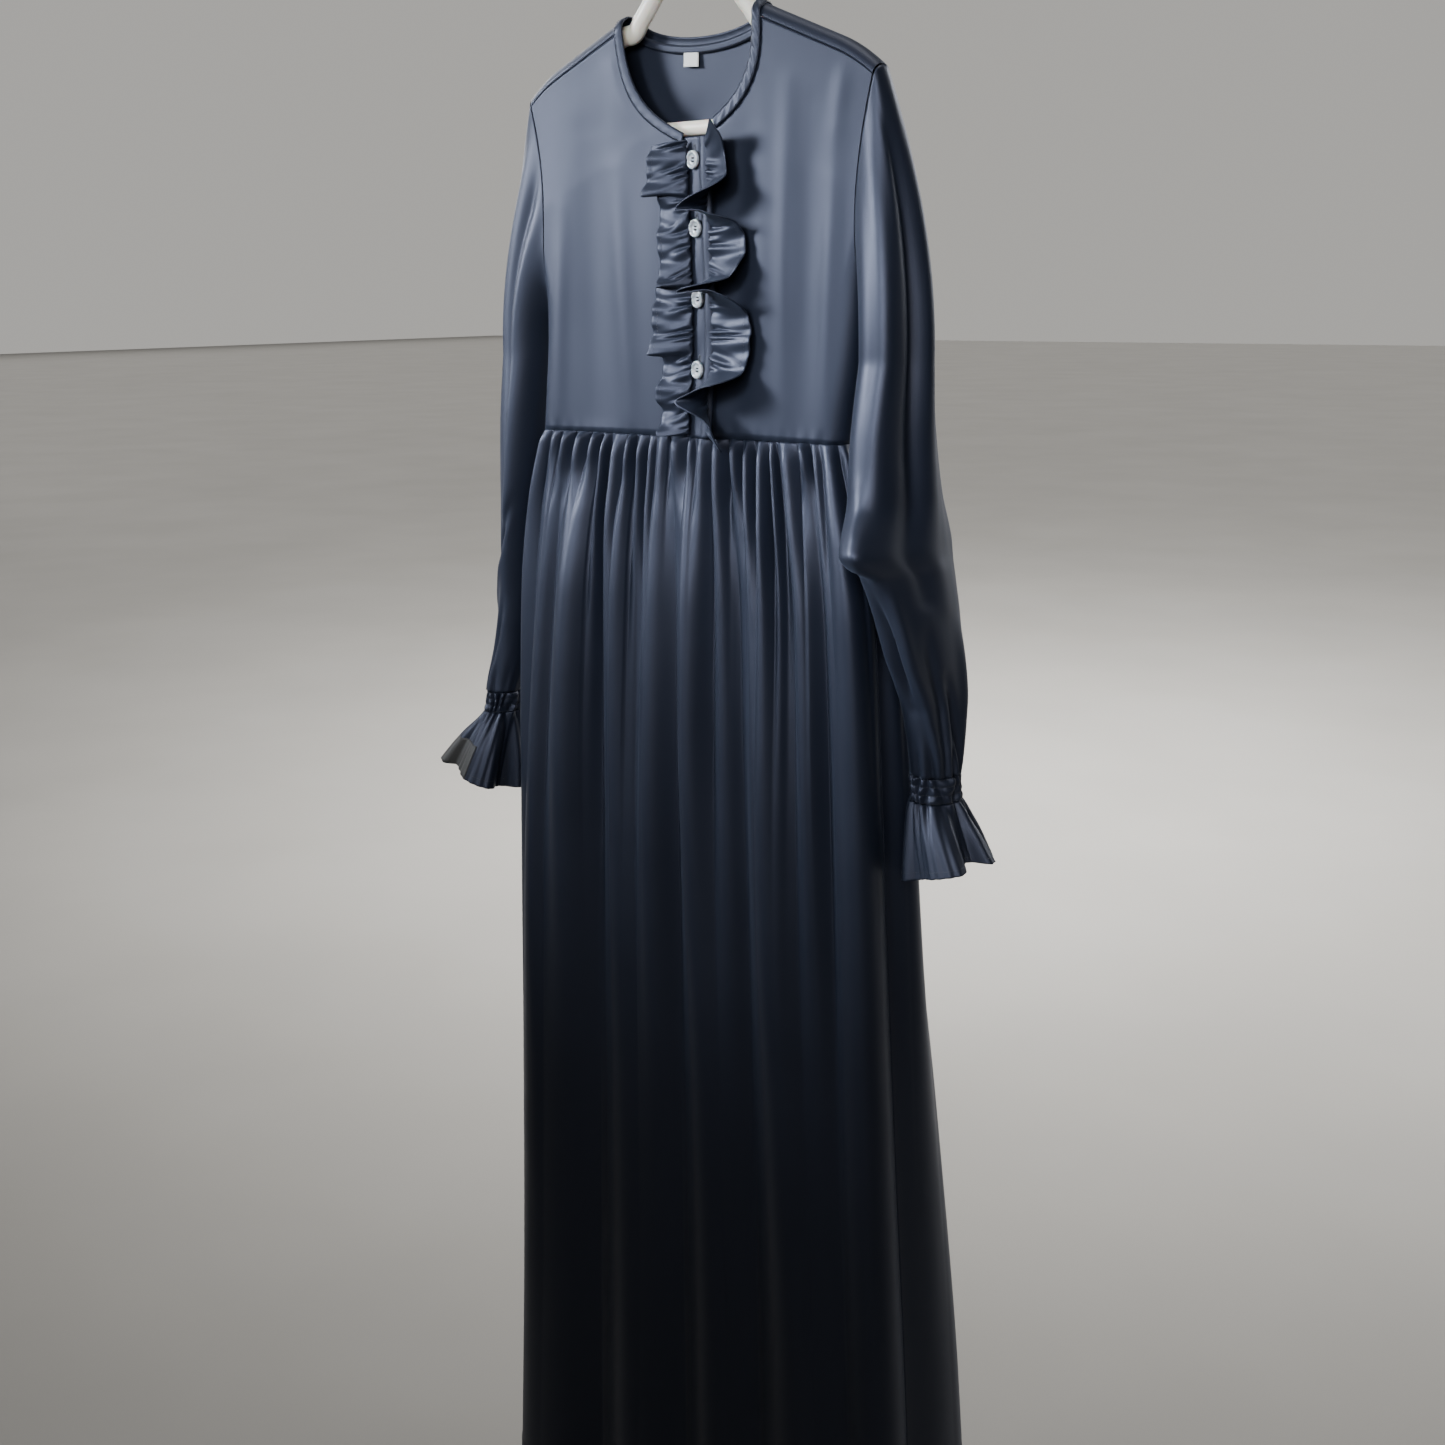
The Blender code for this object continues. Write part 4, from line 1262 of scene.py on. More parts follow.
@dataclass
class Placket:
    """The buttoned band and the band under it, with buttons and buttonholes."""

    rise: float = 0.0050
    under_back: float = 0.0026
    top_drop: float = BODY.front_neck_drop + 0.001
    button_drops: tuple[float, ...] = (0.114, 0.170, 0.229, 0.289)
    button_radius: float = 0.0078
    button_across: float = -0.20
    button_off: float = 0.0030
    hole_half: float = 0.0092
    hole_side: float = 0.0013
    hole_threads: int = 96
    drill_off: float = 0.0019
    drill_radius: float = 0.00075
    stitch_lanes: tuple[float, ...] = (-0.86, 0.40)
    rows: int = 110
    across: int = 22

    def band_point(self, across: float, z: float, lift: float = 0.0) -> Vector:
        """Return a point of the upper band, from -1 at its right edge to 1 at its left.

        Args:
            across: the place across the band.
            z: the height.
            lift: how far out of the cloth the point lies.

        Returns:
            The point.
        """
        x = BODY.band_centre(z) + BODY.band_half * across
        front = BODY.depth(abs(x), z, Panel.FRONT)
        raised = self.rise * (across + 1) / 2
        ridge = 0.0016 * math.exp(-(((across - 0.55) / 0.26) ** 2))
        curl = 0.0030 * soft_step((across - 0.80) / 0.20)
        drag = 0.0006 * math.sin((NECK_Z - z) * TURN / 0.0585 + across * 1.7)
        y = -(front + raised + ridge - curl + drag * (1 - across**2) + lift)
        return Vector((x + BODY.centre(z), y, z))

    def facing_of(self, z: float) -> Vector:
        """Return the direction in which the band faces at its buttons."""
        over = self.band_point(self.button_across + 0.2, z) - self.band_point(self.button_across - 0.2, z)
        return Vector((over.y, -over.x, 0.0)).normalized()

    def bands(self) -> tuple[Object, Object]:
        """Make the upper band and the band under it, and return both.

        Returns:
            The two pieces.
        """
        top = NECK_Z - self.top_drop
        upper, under = [], []
        for k in range(self.rows + 1):
            z = BODY.waist + (top - BODY.waist) * k / self.rows
            upper.append([self.band_point(-1.0 + 2.0 * c / self.across, z) for c in range(self.across + 1)])
            row = []
            for c in range(7):
                x = BODY.band_centre(z) + BODY.band_half * (-0.92 + 1.84 * c / 6)
                y = -(BODY.depth(abs(x), z, Panel.FRONT) - self.under_back)
                row.append(Vector((x + BODY.centre(z), y, z)))
            under.append(row)
        return woven("band", upper, 0.0018), woven("under_band", under, CLOTH)

    def stitches(self) -> StitchLine:
        """Return the stitches down both edges of the band.

        Returns:
            The stitches.
        """
        sewn = StitchLine("placket_stitches", pitch=0.0028, length=0.0021)
        top = NECK_Z - self.top_drop
        for across in self.stitch_lanes:
            path = []
            for k in range(120):
                z = top - 0.002 + (BODY.waist - top + 0.003) * k / 119
                path.append(self.band_point(across, z, 0.0010))
            sewn.run(path)
        return sewn

    def buttonhole(self, z: float, number: int) -> Object:
        """Make the close stitching round one upright buttonhole, as a flat ring with its threads raised.

        Args:
            z: the button's height.
            number: the buttonhole's number.

        Returns:
            The piece.
        """
        threads = self.hole_threads
        facing = self.facing_of(z)
        points, faces = [], []
        sides = 6
        for k in range(threads):
            turn = TURN * k / threads
            aside = self.hole_side * math.copysign(abs(math.cos(turn)) ** 0.5, math.cos(turn))
            up = self.hole_half * math.sin(turn)
            base = self.band_point(self.button_across + aside / BODY.band_half, z + 0.0030 + up, 0.0009)
            out = Vector((math.cos(turn) * 0.9, 0.0, math.sin(turn) * 0.25)).normalized()
            thread = 0.00052 if k % 2 else 0.00042
            for j in range(sides):
                roll = TURN * j / sides
                points.append(base + out * math.cos(roll) * thread * 1.5 + facing * math.sin(roll) * thread)
        for k in range(threads):
            for j in range(sides):
                a, b = k * sides + j, k * sides + (j + 1) % sides
                after = ((k + 1) % threads) * sides
                faces.append((a, b, after + (j + 1) % sides, after + j))
        return walled(f"buttonhole_{number}", points, faces, 0.0)

    def button_body(self, name: str) -> Object:
        """Make one button at the origin, facing +Z: a raised rim, a dished middle and four holes.

        Args:
            name: the button's name.

        Returns:
            The piece.
        """
        profile = (
            (0.0000, 0.0004), (0.0030, 0.0004), (0.0042, 0.0007), (0.0050, 0.0014), (0.0058, 0.0019),
            (0.0067, 0.0019), (0.0074, 0.0015), (self.button_radius, 0.0006), (0.0077, -0.0004),
            (0.0070, -0.0011), (0.0050, -0.0014), (0.0000, -0.0014),
        )
        path = smooth_path([Vector((r, 0.0, z)) for r, z in profile], 3)
        turns = 48
        rows = []
        for point in path[1:-1]:
            radius = max(point.x, 0.0)
            turned = [TURN * k / turns for k in range(turns)]
            rows.append([Vector((radius * math.cos(a), radius * math.sin(a), point.z)) for a in turned])
        body = woven(name, rows, 0.0, closed=True)
        shape = bmesh.new()
        shape.from_mesh(body.data)
        bmesh.ops.holes_fill(shape, edges=[edge for edge in shape.edges if edge.is_boundary])
        bmesh.ops.recalc_face_normals(shape, faces=shape.faces)
        shape.to_mesh(body.data)
        shape.free()
        drills = bmesh.new()
        for k in range(4):
            turn = math.pi / 4 + math.pi / 2 * k
            off, radius = self.drill_off, self.drill_radius
            place = Matrix.Translation((off * math.cos(turn), off * math.sin(turn), 0.0))
            bmesh.ops.create_cone(
                drills, cap_ends=True, segments=14, radius1=radius, radius2=radius, depth=0.006, matrix=place
            )
        drill_mesh = bpy.data.meshes.new("drills")
        drills.to_mesh(drill_mesh)
        drills.free()
        drill = placed("drills", drill_mesh)
        cut = body.modifiers.new("holes", "BOOLEAN")
        cut.object = drill
        cut.operation = "DIFFERENCE"
        bpy.context.view_layer.update()
        seen = body.evaluated_get(bpy.context.evaluated_depsgraph_get())
        mesh = bpy.data.meshes.new_from_object(seen)
        body.modifiers.clear()
        body.data = mesh
        bpy.data.objects.remove(drill)
        mesh.shade_smooth()
        return body

    def button_thread(self, name: str) -> Object:
        """Make the two upright bars of thread that hold a button, at the origin facing +Z.

        Args:
            name: the thread's name.

        Returns:
            The piece.
        """
        parts = []
        for aside in (-0.00134, 0.00134):
            for beside in (-0.00028, 0.00028):
                points = []
                for k in range(9):
                    turn = math.pi * k / 8
                    up = 0.0006 + 0.0008 * math.sin(turn) - 0.0004
                    points.append(Vector((-0.00134 * math.cos(turn), 0.0, up)))
                strand = rod(f"{name}_{len(parts)}", points, 0.00032, 1.0, 8)
                strand.location = (0.0, aside + beside, 0.0)
                parts.append(strand)
        bpy.context.view_layer.update()
        return joined(name, parts)

    def buttons(self) -> None:
        """Make the four buttons, each sewn with dark thread."""
        for number, drop in enumerate(self.button_drops, 1):
            z = NECK_Z - drop
            facing = self.facing_of(z)
            turn = facing.to_track_quat("Z", "Y").to_matrix().to_4x4()
            spin = Matrix.Rotation(math.radians(8 * uneven(number)), 4, "Z")
            place = Matrix.Translation(self.band_point(self.button_across, z) + facing * self.button_off)
            body = self.button_body(f"button_{number}_turned")
            thread = self.button_thread(f"button_{number}_thread")
            for item in (body, thread):
                item.data.transform(place @ turn @ spin)
            dress(body, RESIN, "pearl", f"button_{number}")
            dress(thread, DARK_THREAD, "satin")

    def build(self) -> None:
        """Make and dress the placket."""
        upper, under = self.bands()
        dress(upper, SATIN, "satin", "placket_band")
        dress(under, SATIN, "satin", "placket_under")
        stitches = self.stitches().sew()
        holes = [self.buttonhole(NECK_Z - drop, k) for k, drop in enumerate(self.button_drops, 1)]
        for hole in holes:
            dress(hole, NAVY_THREAD, "satin")
        self.buttons()


@dataclass
class PlacketRuffle:
    """A gathered ruffle beside the placket, flipped over in places."""

    side: Side
    table: Sections
    cut_width: float
    slant: float
    root_lift: float = 0.0048
    root_gap: float = -0.0045
    stations: int = 340
    across: int = 20
    pleats: float = 30.0
    pleat: float = 0.0026
    sway: float = 0.0030
    hem: float = 0.0042

    def point(self, along: float, across: float, lift: float = 0.0) -> Vector:
        """Return a point of the ruffle.

        Args:
            along: the part of the way down the placket.
            across: the part of the way from the gathered root to the hem.
            lift: how far out of the cloth the point lies.

        Returns:
            The point.
        """
        width, root_slope, edge_slope, shift = self.table.at(along)
        top = NECK_Z - BODY.front_neck_drop - 0.004
        bottom = NECK_Z - BODY.waist_drop + 0.004
        z = top + (bottom - top) * along
        x = BODY.band_centre(z) + self.side.value * (BODY.band_half + self.root_gap)
        y = -(BODY.depth(abs(x), z, Panel.FRONT) + self.root_lift)
        steps = 10
        slope = math.radians(root_slope)
        done = 0.0
        for _ in range(steps):
            if done >= across:
                break
            step = min(1 / steps, across - done)
            slope = math.radians(root_slope + (edge_slope - root_slope) * (done + step / 2))
            x += self.side.value * math.cos(slope) * width * step
            y -= math.sin(slope) * width * step
            done += step
        beat = self.pleats * along
        phase = beat + 0.30 * math.sin(beat * 1.9) + 0.22 * math.sin(beat * 0.83 + 2.0)
        phase += across * (0.45 * math.sin(beat * 1.3 + 0.5) - self.slant)
        strength = 0.75 + 0.45 * math.sin(beat * 2.3 + 1.0)
        reach = 0.62 + 0.28 * math.sin(beat * 2.9 + 0.7)
        fan = (1 - soft_step((across - 0.08) / reach)) * soft_step((across + 0.10) / 0.22) + 0.06 * across
        wave = self.pleat * strength * fan * math.cos(TURN * phase)
        wave += self.sway * across**1.5 * math.sin(TURN * along * 7.5 + self.side.value)
        wave += 0.0012 * across * math.sin(TURN * along * 19.0 + 3.0 * across)
        rim = 0.0004 * soft_step((across * width - (width - self.hem)) / 0.0008)
        wave += rim + lift
        return Vector((
            x + BODY.centre(z) + self.side.value * wave * math.sin(slope),
            y - wave * math.cos(slope) * 0.8,
            z - shift * across,
        ))

    def build(self) -> None:
        """Make and dress the ruffle."""
        name = self.side.name.lower()
        rows = []
        for r in range(self.across + 1):
            across = (r / self.across) ** 0.85
            rows.append([self.point(k / self.stations, across) for k in range(self.stations + 1)])
        item = dress(woven(f"ruffle_{name}", rows, FRILL), HEM_SATIN, "satin", f"placket_ruffle_{name}")
        sewn = StitchLine(f"ruffle_{name}_stitches", pitch=0.0026, length=0.0019)
        inset = 1 - self.hem / 0.030
        for across, lift in ((inset, 0.0001), (0.035, 0.0002)):
            places = [k / self.stations for k in range(self.stations + 1)]
            sewn.run([self.point(along, across, FRILL / 2 + lift) for along in places])
        sewn.sew()


RIGHT_RUFFLE = Sections("width root edge shift", (
    (0.000, 0.036, 22, -4, 0.003),
    (0.090, 0.039, 26, 0, 0.003),
    (0.165, 0.043, 34, 6, 0.004),
    (0.190, 0.030, 18, -6, -0.002),
    (0.330, 0.032, 26, -8, 0.002),
    (0.440, 0.029, 34, 10, 0.006),
    (0.480, 0.026, 46, 30, 0.002),
    (0.500, 0.037, 20, -4, -0.002),
    (0.620, 0.039, 26, 0, 0.000),
    (0.705, 0.041, 36, 8, 0.004),
    (0.735, 0.029, 18, -4, 0.000),
    (0.860, 0.032, 30, 4, 0.002),
    (0.930, 0.028, 24, 0, 0.002),
    (1.000, 0.027, 34, 20, 0.004),
))
LEFT_RUFFLE = Sections("width root edge shift", (
    (0.00, 0.030, 40, 50, -0.014),
    (0.05, 0.033, 20, 30, -0.008),
    (0.12, 0.034, 12, 30, 0.000),
    (0.17, 0.031, 44, 92, 0.003),
    (0.215, 0.029, 80, 148, 0.004),
    (0.26, 0.031, 50, 70, -0.004),
    (0.30, 0.038, 8, 8, -0.004),
    (0.37, 0.042, 6, 1, 0.000),
    (0.44, 0.036, 14, 34, 0.005),
    (0.485, 0.030, 80, 148, 0.006),
    (0.53, 0.035, 44, 54, -0.006),
    (0.58, 0.042, 9, 8, -0.003),
    (0.67, 0.047, 6, 0, 0.000),
    (0.76, 0.043, 9, 16, 0.006),
    (0.81, 0.036, 54, 104, 0.008),
    (0.85, 0.033, 80, 148, 0.007),
    (0.91, 0.030, 54, 76, 0.006),
    (1.00, 0.034, 24, 34, 0.014),
))


def ring_point(columns: Sequence[float], turn: float, z: float, out: float = 0.0) -> Vector:
    """Return a point of a sleeve's section.

    Args:
        columns: the section's centre x and y, half width, half depth and tilt.
        turn: the part of a turn from the outer side through the front.
        z: the section's height.
        out: how far out of the section the point lies.

    Returns:
        The point.
    """
    centre_x, centre_y, half_x, half_y, tilt = columns
    angle = TURN * turn
    side = 1 if centre_x > 0 else -1
    return Vector((
        centre_x + side * (half_x + out) * math.cos(angle),
        centre_y - (half_y + out) * math.sin(angle),
        z + tilt * math.cos(angle),
    ))


SLEEVE_COLUMNS = "centre_x centre_y half_x half_y tilt"


@dataclass
class Sleeve:
    """A long sleeve, from the armhole to the shirred cuff."""

    side: Side
    table: Sections
    folds: tuple[Crease, ...]
    girth: float = 0.24
    gathers: int = 13
    gather_height: float = 0.0030
    gather_reach: float = 0.050
    head_rows: int = 30
    rows: int = 130
    columns: int = 112
    arm_gap: float = 0.0011

    def fold_off(self, turn: float, drop: float) -> float:
        """Return how far the folds move the cloth out, less where the sleeve hangs against the body.

        Args:
            turn: the part of a turn round the sleeve.
            drop: the depth below the collar level.

        Returns:
            The distance out.
        """
        signed = turn - 1.0 if turn > 0.5 else turn
        off = sum(fold.off(signed * self.girth, drop) for fold in self.folds)
        clear = 0.12 + 0.88 * soft_step((math.cos(TURN * turn) + 0.75) / 1.0)
        near = soft_step((drop - (self.table.last - self.gather_reach)) / self.gather_reach)
        wave = math.cos(TURN * (self.gathers * turn + 0.35 * math.sin(TURN * turn * 2)))
        strength = 0.7 + 0.3 * math.sin(TURN * turn * 5 + 1.0)
        off += self.gather_height * near * wave * strength
        return off * clear

    def head(self) -> list[Row]:
        """Return the rows from the armhole down to the table's first section.

        Returns:
            The rows.
        """
        first = self.table.at(self.table.first)
        z_end = NECK_Z - self.table.first
        rows = []
        for r in range(self.head_rows):
            part = (r / self.head_rows) ** 1.3
            spread = 1 - (1 - part) ** 2
            row = []
            for k in range(self.columns):
                turn = k / self.columns
                panel = Panel.BACK if turn > 0.5 else Panel.FRONT
                x, reach = BODY.armhole(2 * (1 - turn if turn > 0.5 else turn), panel, self.arm_gap)
                start = BODY.point(x, reach, 0.0, self.side)
                fade = soft_step(part / 0.25)
                drop = NECK_Z - (start.z + (z_end - start.z) * part)
                end = ring_point(first, turn, z_end, self.fold_off(turn, self.table.first))
                point = start.lerp(end, spread)
                point.z = start.z + (z_end - start.z) * part
                out = (self.fold_off(turn, drop) - self.fold_off(turn, self.table.first) * spread) * fade
                angle = TURN * turn
                point.x += self.side.value * out * math.cos(angle)
                point.y -= out * math.sin(angle)
                row.append(point)
            rows.append(row)
        return rows

    def build(self) -> None:
        """Make and dress the sleeve."""
        name = self.side.name.lower()
        rows = self.head()
        for r in range(self.rows + 1):
            drop = self.table.first + (self.table.last - self.table.first) * r / self.rows
            columns = self.table.at(drop)
            rows.append([
                ring_point(columns, k / self.columns, NECK_Z - drop, self.fold_off(k / self.columns, drop))
                for k in range(self.columns)
            ])
        item = woven(f"sleeve_{name}_cloth", rows, CLOTH, closed=True)
        dress(item, SATIN, "satin", f"sleeve_{name}")


LEFT_SLEEVE = Sections(SLEEVE_COLUMNS, (
    (0.280, 0.2042, 0.001, 0.0250, 0.042, 0.000),
    (0.335, 0.2042, -0.001, 0.0270, 0.051, 0.000),
    (0.390, 0.2065, -0.001, 0.0290, 0.059, 0.000),
    (0.418, 0.2105, -0.006, 0.0280, 0.072, 0.000),
    (0.430, 0.2125, -0.008, 0.0275, 0.076, 0.000),
    (0.439, 0.2140, -0.005, 0.0270, 0.072, 0.000),
    (0.450, 0.2160, 0.003, 0.0265, 0.062, 0.000),
    (0.478, 0.2205, 0.009, 0.0255, 0.056, 0.000),
    (0.520, 0.2270, 0.014, 0.0240, 0.049, 0.000),
    (0.545, 0.2295, 0.019, 0.0230, 0.041, 0.000),
    (0.570, 0.2315, 0.023, 0.0220, 0.033, 0.000),
    (0.608, 0.2345, 0.023, 0.0210, 0.026, 0.000),
    (0.627, 0.2350, 0.023, 0.0205, 0.023, 0.000),
))
RIGHT_SLEEVE = Sections(SLEEVE_COLUMNS, (
    (0.280, -0.2100, 0.018, 0.0230, 0.040, 0.000),
    (0.335, -0.2150, 0.020, 0.0230, 0.046, 0.000),
    (0.390, -0.2210, 0.024, 0.0225, 0.050, 0.000),
    (0.430, -0.2270, 0.028, 0.0215, 0.052, 0.000),
    (0.465, -0.2330, 0.030, 0.0215, 0.050, 0.000),
    (0.505, -0.2400, 0.029, 0.0210, 0.043, 0.000),
    (0.550, -0.2480, 0.021, 0.0195, 0.034, 0.000),
    (0.588, -0.2545, 0.010, 0.0185, 0.026, 0.000),
    (0.603, -0.2575, 0.004, 0.0175, 0.021, 0.000),
    (0.615, -0.2590, 0.000, 0.0165, 0.018, 0.000),
))
LEFT_SLEEVE_FOLDS = (
    Crease(0.006, 0.060, 0.014, 0.470, -0.0100, 0.0085),
    Crease(-0.010, 0.080, -0.004, 0.480, 0.0040, 0.0080),
    Crease(0.036, 0.110, 0.044, 0.440, 0.0040, 0.0110),
    Crease(-0.034, 0.120, -0.030, 0.470, -0.0030, 0.0100),
    Crease(0.092, 0.446, 0.060, 0.450, -0.0050, 0.0045),
    Crease(0.094, 0.430, 0.050, 0.440, 0.0012, 0.0055),
    Crease(0.060, 0.380, 0.046, 0.450, 0.0040, 0.0090),
    Crease(0.066, 0.462, 0.060, 0.560, -0.0150, 0.0120),
    Crease(0.042, 0.450, 0.036, 0.570, 0.0050, 0.0060),
    Crease(0.020, 0.500, 0.022, 0.600, -0.0050, 0.0060),
    Crease(0.040, 0.560, 0.030, 0.622, 0.0040, 0.0060),
    Crease(0.008, 0.540, -0.004, 0.615, -0.0060, 0.0060),
    Crease(-0.020, 0.500, -0.016, 0.615, 0.0050, 0.0070),
    Crease(-0.044, 0.500, -0.040, 0.600, -0.0040, 0.0070),
    Crease(0.100, 0.520, 0.080, 0.620, 0.0040, 0.0080),
)
RIGHT_SLEEVE_FOLDS = (
    Crease(0.050, 0.060, 0.046, 0.470, -0.0070, 0.0100),
    Crease(0.026, 0.100, 0.020, 0.560, 0.0050, 0.0090),
    Crease(-0.006, 0.080, -0.008, 0.580, -0.0060, 0.0100),
    Crease(-0.050, 0.120, -0.040, 0.560, 0.0040, 0.0120),
    Crease(0.074, 0.420, 0.024, 0.500, -0.0060, 0.0070),
    Crease(0.050, 0.470, 0.000, 0.560, 0.0040, 0.0080),
    Crease(0.060, 0.520, 0.040, 0.605, -0.0040, 0.0070),
)


@dataclass
class Cuff:
    """A shirred elastic band and the ruffle below it."""

    side: Side
    band: Sections
    frill: Sections
    gathers: int = 13
    gather: float = 0.0020
    waves: int = 6
    wave: float = 0.0088
    channels: int = 3
    band_columns: int = 252
    frill_columns: int = 270
    label_from: float = 0.105
    label_to: float = 0.285
    label_top: float = 0.50
    label_length: float = 0.48

    def band_point(self, turn: float, drop: float, lift: float = 0.0) -> Vector:
        """Return a point of the shirred band.

        Args:
            turn: the part of a turn round the cuff.
            drop: the depth below the collar level.
            lift: how far out of the cloth the point lies.

        Returns:
            The point.
        """
        part = (drop - self.band.first) / (self.band.last - self.band.first)
        drift = 0.35 * math.sin(TURN * turn * 3 + 1.0)
        drift += 0.20 * math.sin(TURN * turn * 5 + 4 * part)
        pleat = math.cos(TURN * (self.gathers * turn + drift))
        strength = 0.85 + 0.35 * math.sin(TURN * turn * 4 + 2.5 * part)
        puff = abs(math.sin(math.pi * self.channels * part))
        out = self.gather * pleat * strength * (0.80 + 0.35 * puff) + 0.0005 * (puff - 0.5)
        return ring_point(self.band.at(drop), turn, NECK_Z - drop, out + lift)

    def frill_point(self, turn: float, part: float, lift: float = 0.0) -> Vector:
        """Return a point of the ruffle, from its gathers at 0 to its hem at 1.

        Args:
            turn: the part of a turn round the cuff.
            part: how far down the ruffle.
            lift: how far out of the cloth the point lies.

        Returns:
            The point.
        """
        drop = self.frill.first + (self.frill.last - self.frill.first) * part
        phase = self.waves * turn + 0.26 * math.sin(4 * math.pi * turn + self.side.value)
        wave = math.cos(TURN * phase)
        boxed = math.tanh(2.2 * wave) / math.tanh(2.2)
        swell = 0.85 + 0.30 * math.sin(4 * math.pi * turn + 1.0) + 0.18 * math.sin(6 * math.pi * turn)
        out = self.wave * part**0.8 * (boxed * 0.8 + wave * 0.2) * swell
        fine = math.cos(TURN * (self.gathers * turn + 0.30 * math.sin(TURN * turn * 3 + 1.0)))
        out += self.gather * fine * (1 - part) ** 2
        ripple = 0.0006 * part * math.sin(TURN * turn * 31 + 3 * part)
        return ring_point(self.frill.at(drop), turn, NECK_Z - drop, out + ripple + lift)

    def stitches(self) -> StitchLine:
        """Return the shirring stitches of the band and the hem stitches of the ruffle.

        Returns:
            The stitches.
        """
        sewn = StitchLine(f"cuff_{self.side.name.lower()}_stitches", pitch=0.0026, length=0.0019)
        length = self.band.last - self.band.first
        for k in range(self.channels + 1):
            drop = self.band.first + length * min(max(k / self.channels, 0.04), 0.96)
            sewn.run([self.band_point(j / 240, drop, CLOTH / 2 + 0.0001) for j in range(241)])
        sewn.run([self.frill_point(j / 300, 0.90, CLOTH / 2 + 0.0001) for j in range(301)])
        return sewn

    def label(self) -> Object:
        """Make the bare woven label sewn on the ruffle's face.

        Returns:
            The piece.
        """
        rows = []
        for r in range(15):
            part = self.label_top + self.label_length * r / 14
            row = []
            for c in range(25):
                turn = self.label_from + (self.label_to - self.label_from) * c / 24
                row.append(self.frill_point(turn, part, CLOTH / 2 + 0.0008))
            rows.append(row)
        return woven("cuff_woven_label", rows, 0.0006)

    def build(self) -> None:
        """Make and dress the cuff."""
        name = self.side.name.lower()
        rows = []
        for r in range(31):
            drop = self.band.first + (self.band.last - self.band.first) * r / 30
            rows.append([self.band_point(k / self.band_columns, drop) for k in range(self.band_columns)])
        band = woven(f"cuff_{name}_shirring", rows, CUFF_CLOTH, closed=True)
        dress(band, SATIN, "satin", f"cuff_band_{name}")
        rows = []
        for r in range(43):
            turns = [k / self.frill_columns for k in range(self.frill_columns)]
            rows.append([self.frill_point(turn, r / 42) for turn in turns])
        frill = woven(f"cuff_{name}_frill", rows, CUFF_CLOTH, closed=True)
        dress(frill, HEM_SATIN, "satin", f"cuff_ruffle_{name}")
        sewn = self.stitches().sew()
        if self.side is Side.RIGHT:
            label = dress(self.label(), BLACK_TAPE, "label_black", "cuff_label")


LEFT_CUFF = Sections(SLEEVE_COLUMNS, (
    (0.6278, 0.2350, 0.023, 0.0205, 0.023, 0.000),
    (0.6390, 0.2355, 0.023, 0.0203, 0.023, 0.000),
    (0.6500, 0.2360, 0.023, 0.0205, 0.023, 0.000),
))
RIGHT_CUFF = Sections(SLEEVE_COLUMNS, (
    (0.6158, -0.2590, 0.000, 0.0165, 0.018, 0.000),
    (0.6260, -0.2605, 0.000, 0.0162, 0.018, 0.000),
    (0.6360, -0.2625, 0.000, 0.0165, 0.018, 0.000),
))
LEFT_CUFF_FRILL = Sections(SLEEVE_COLUMNS, (
    (0.6506, 0.2360, 0.023, 0.0205, 0.023, 0.000),
    (0.6590, 0.2380, 0.023, 0.0235, 0.027, 0.000),
    (0.6840, 0.2450, 0.022, 0.0285, 0.034, 0.005),
    (0.7110, 0.2520, 0.021, 0.0325, 0.038, 0.011),
))
RIGHT_CUFF_FRILL = Sections(SLEEVE_COLUMNS, (
    (0.6366, -0.2625, 0.000, 0.0165, 0.018, 0.000),
    (0.6450, -0.2650, -0.001, 0.0190, 0.022, 0.001),
    (0.6710, -0.2740, -0.004, 0.0275, 0.031, 0.008),
    (0.7000, -0.2830, -0.007, 0.0345, 0.038, 0.016),
))


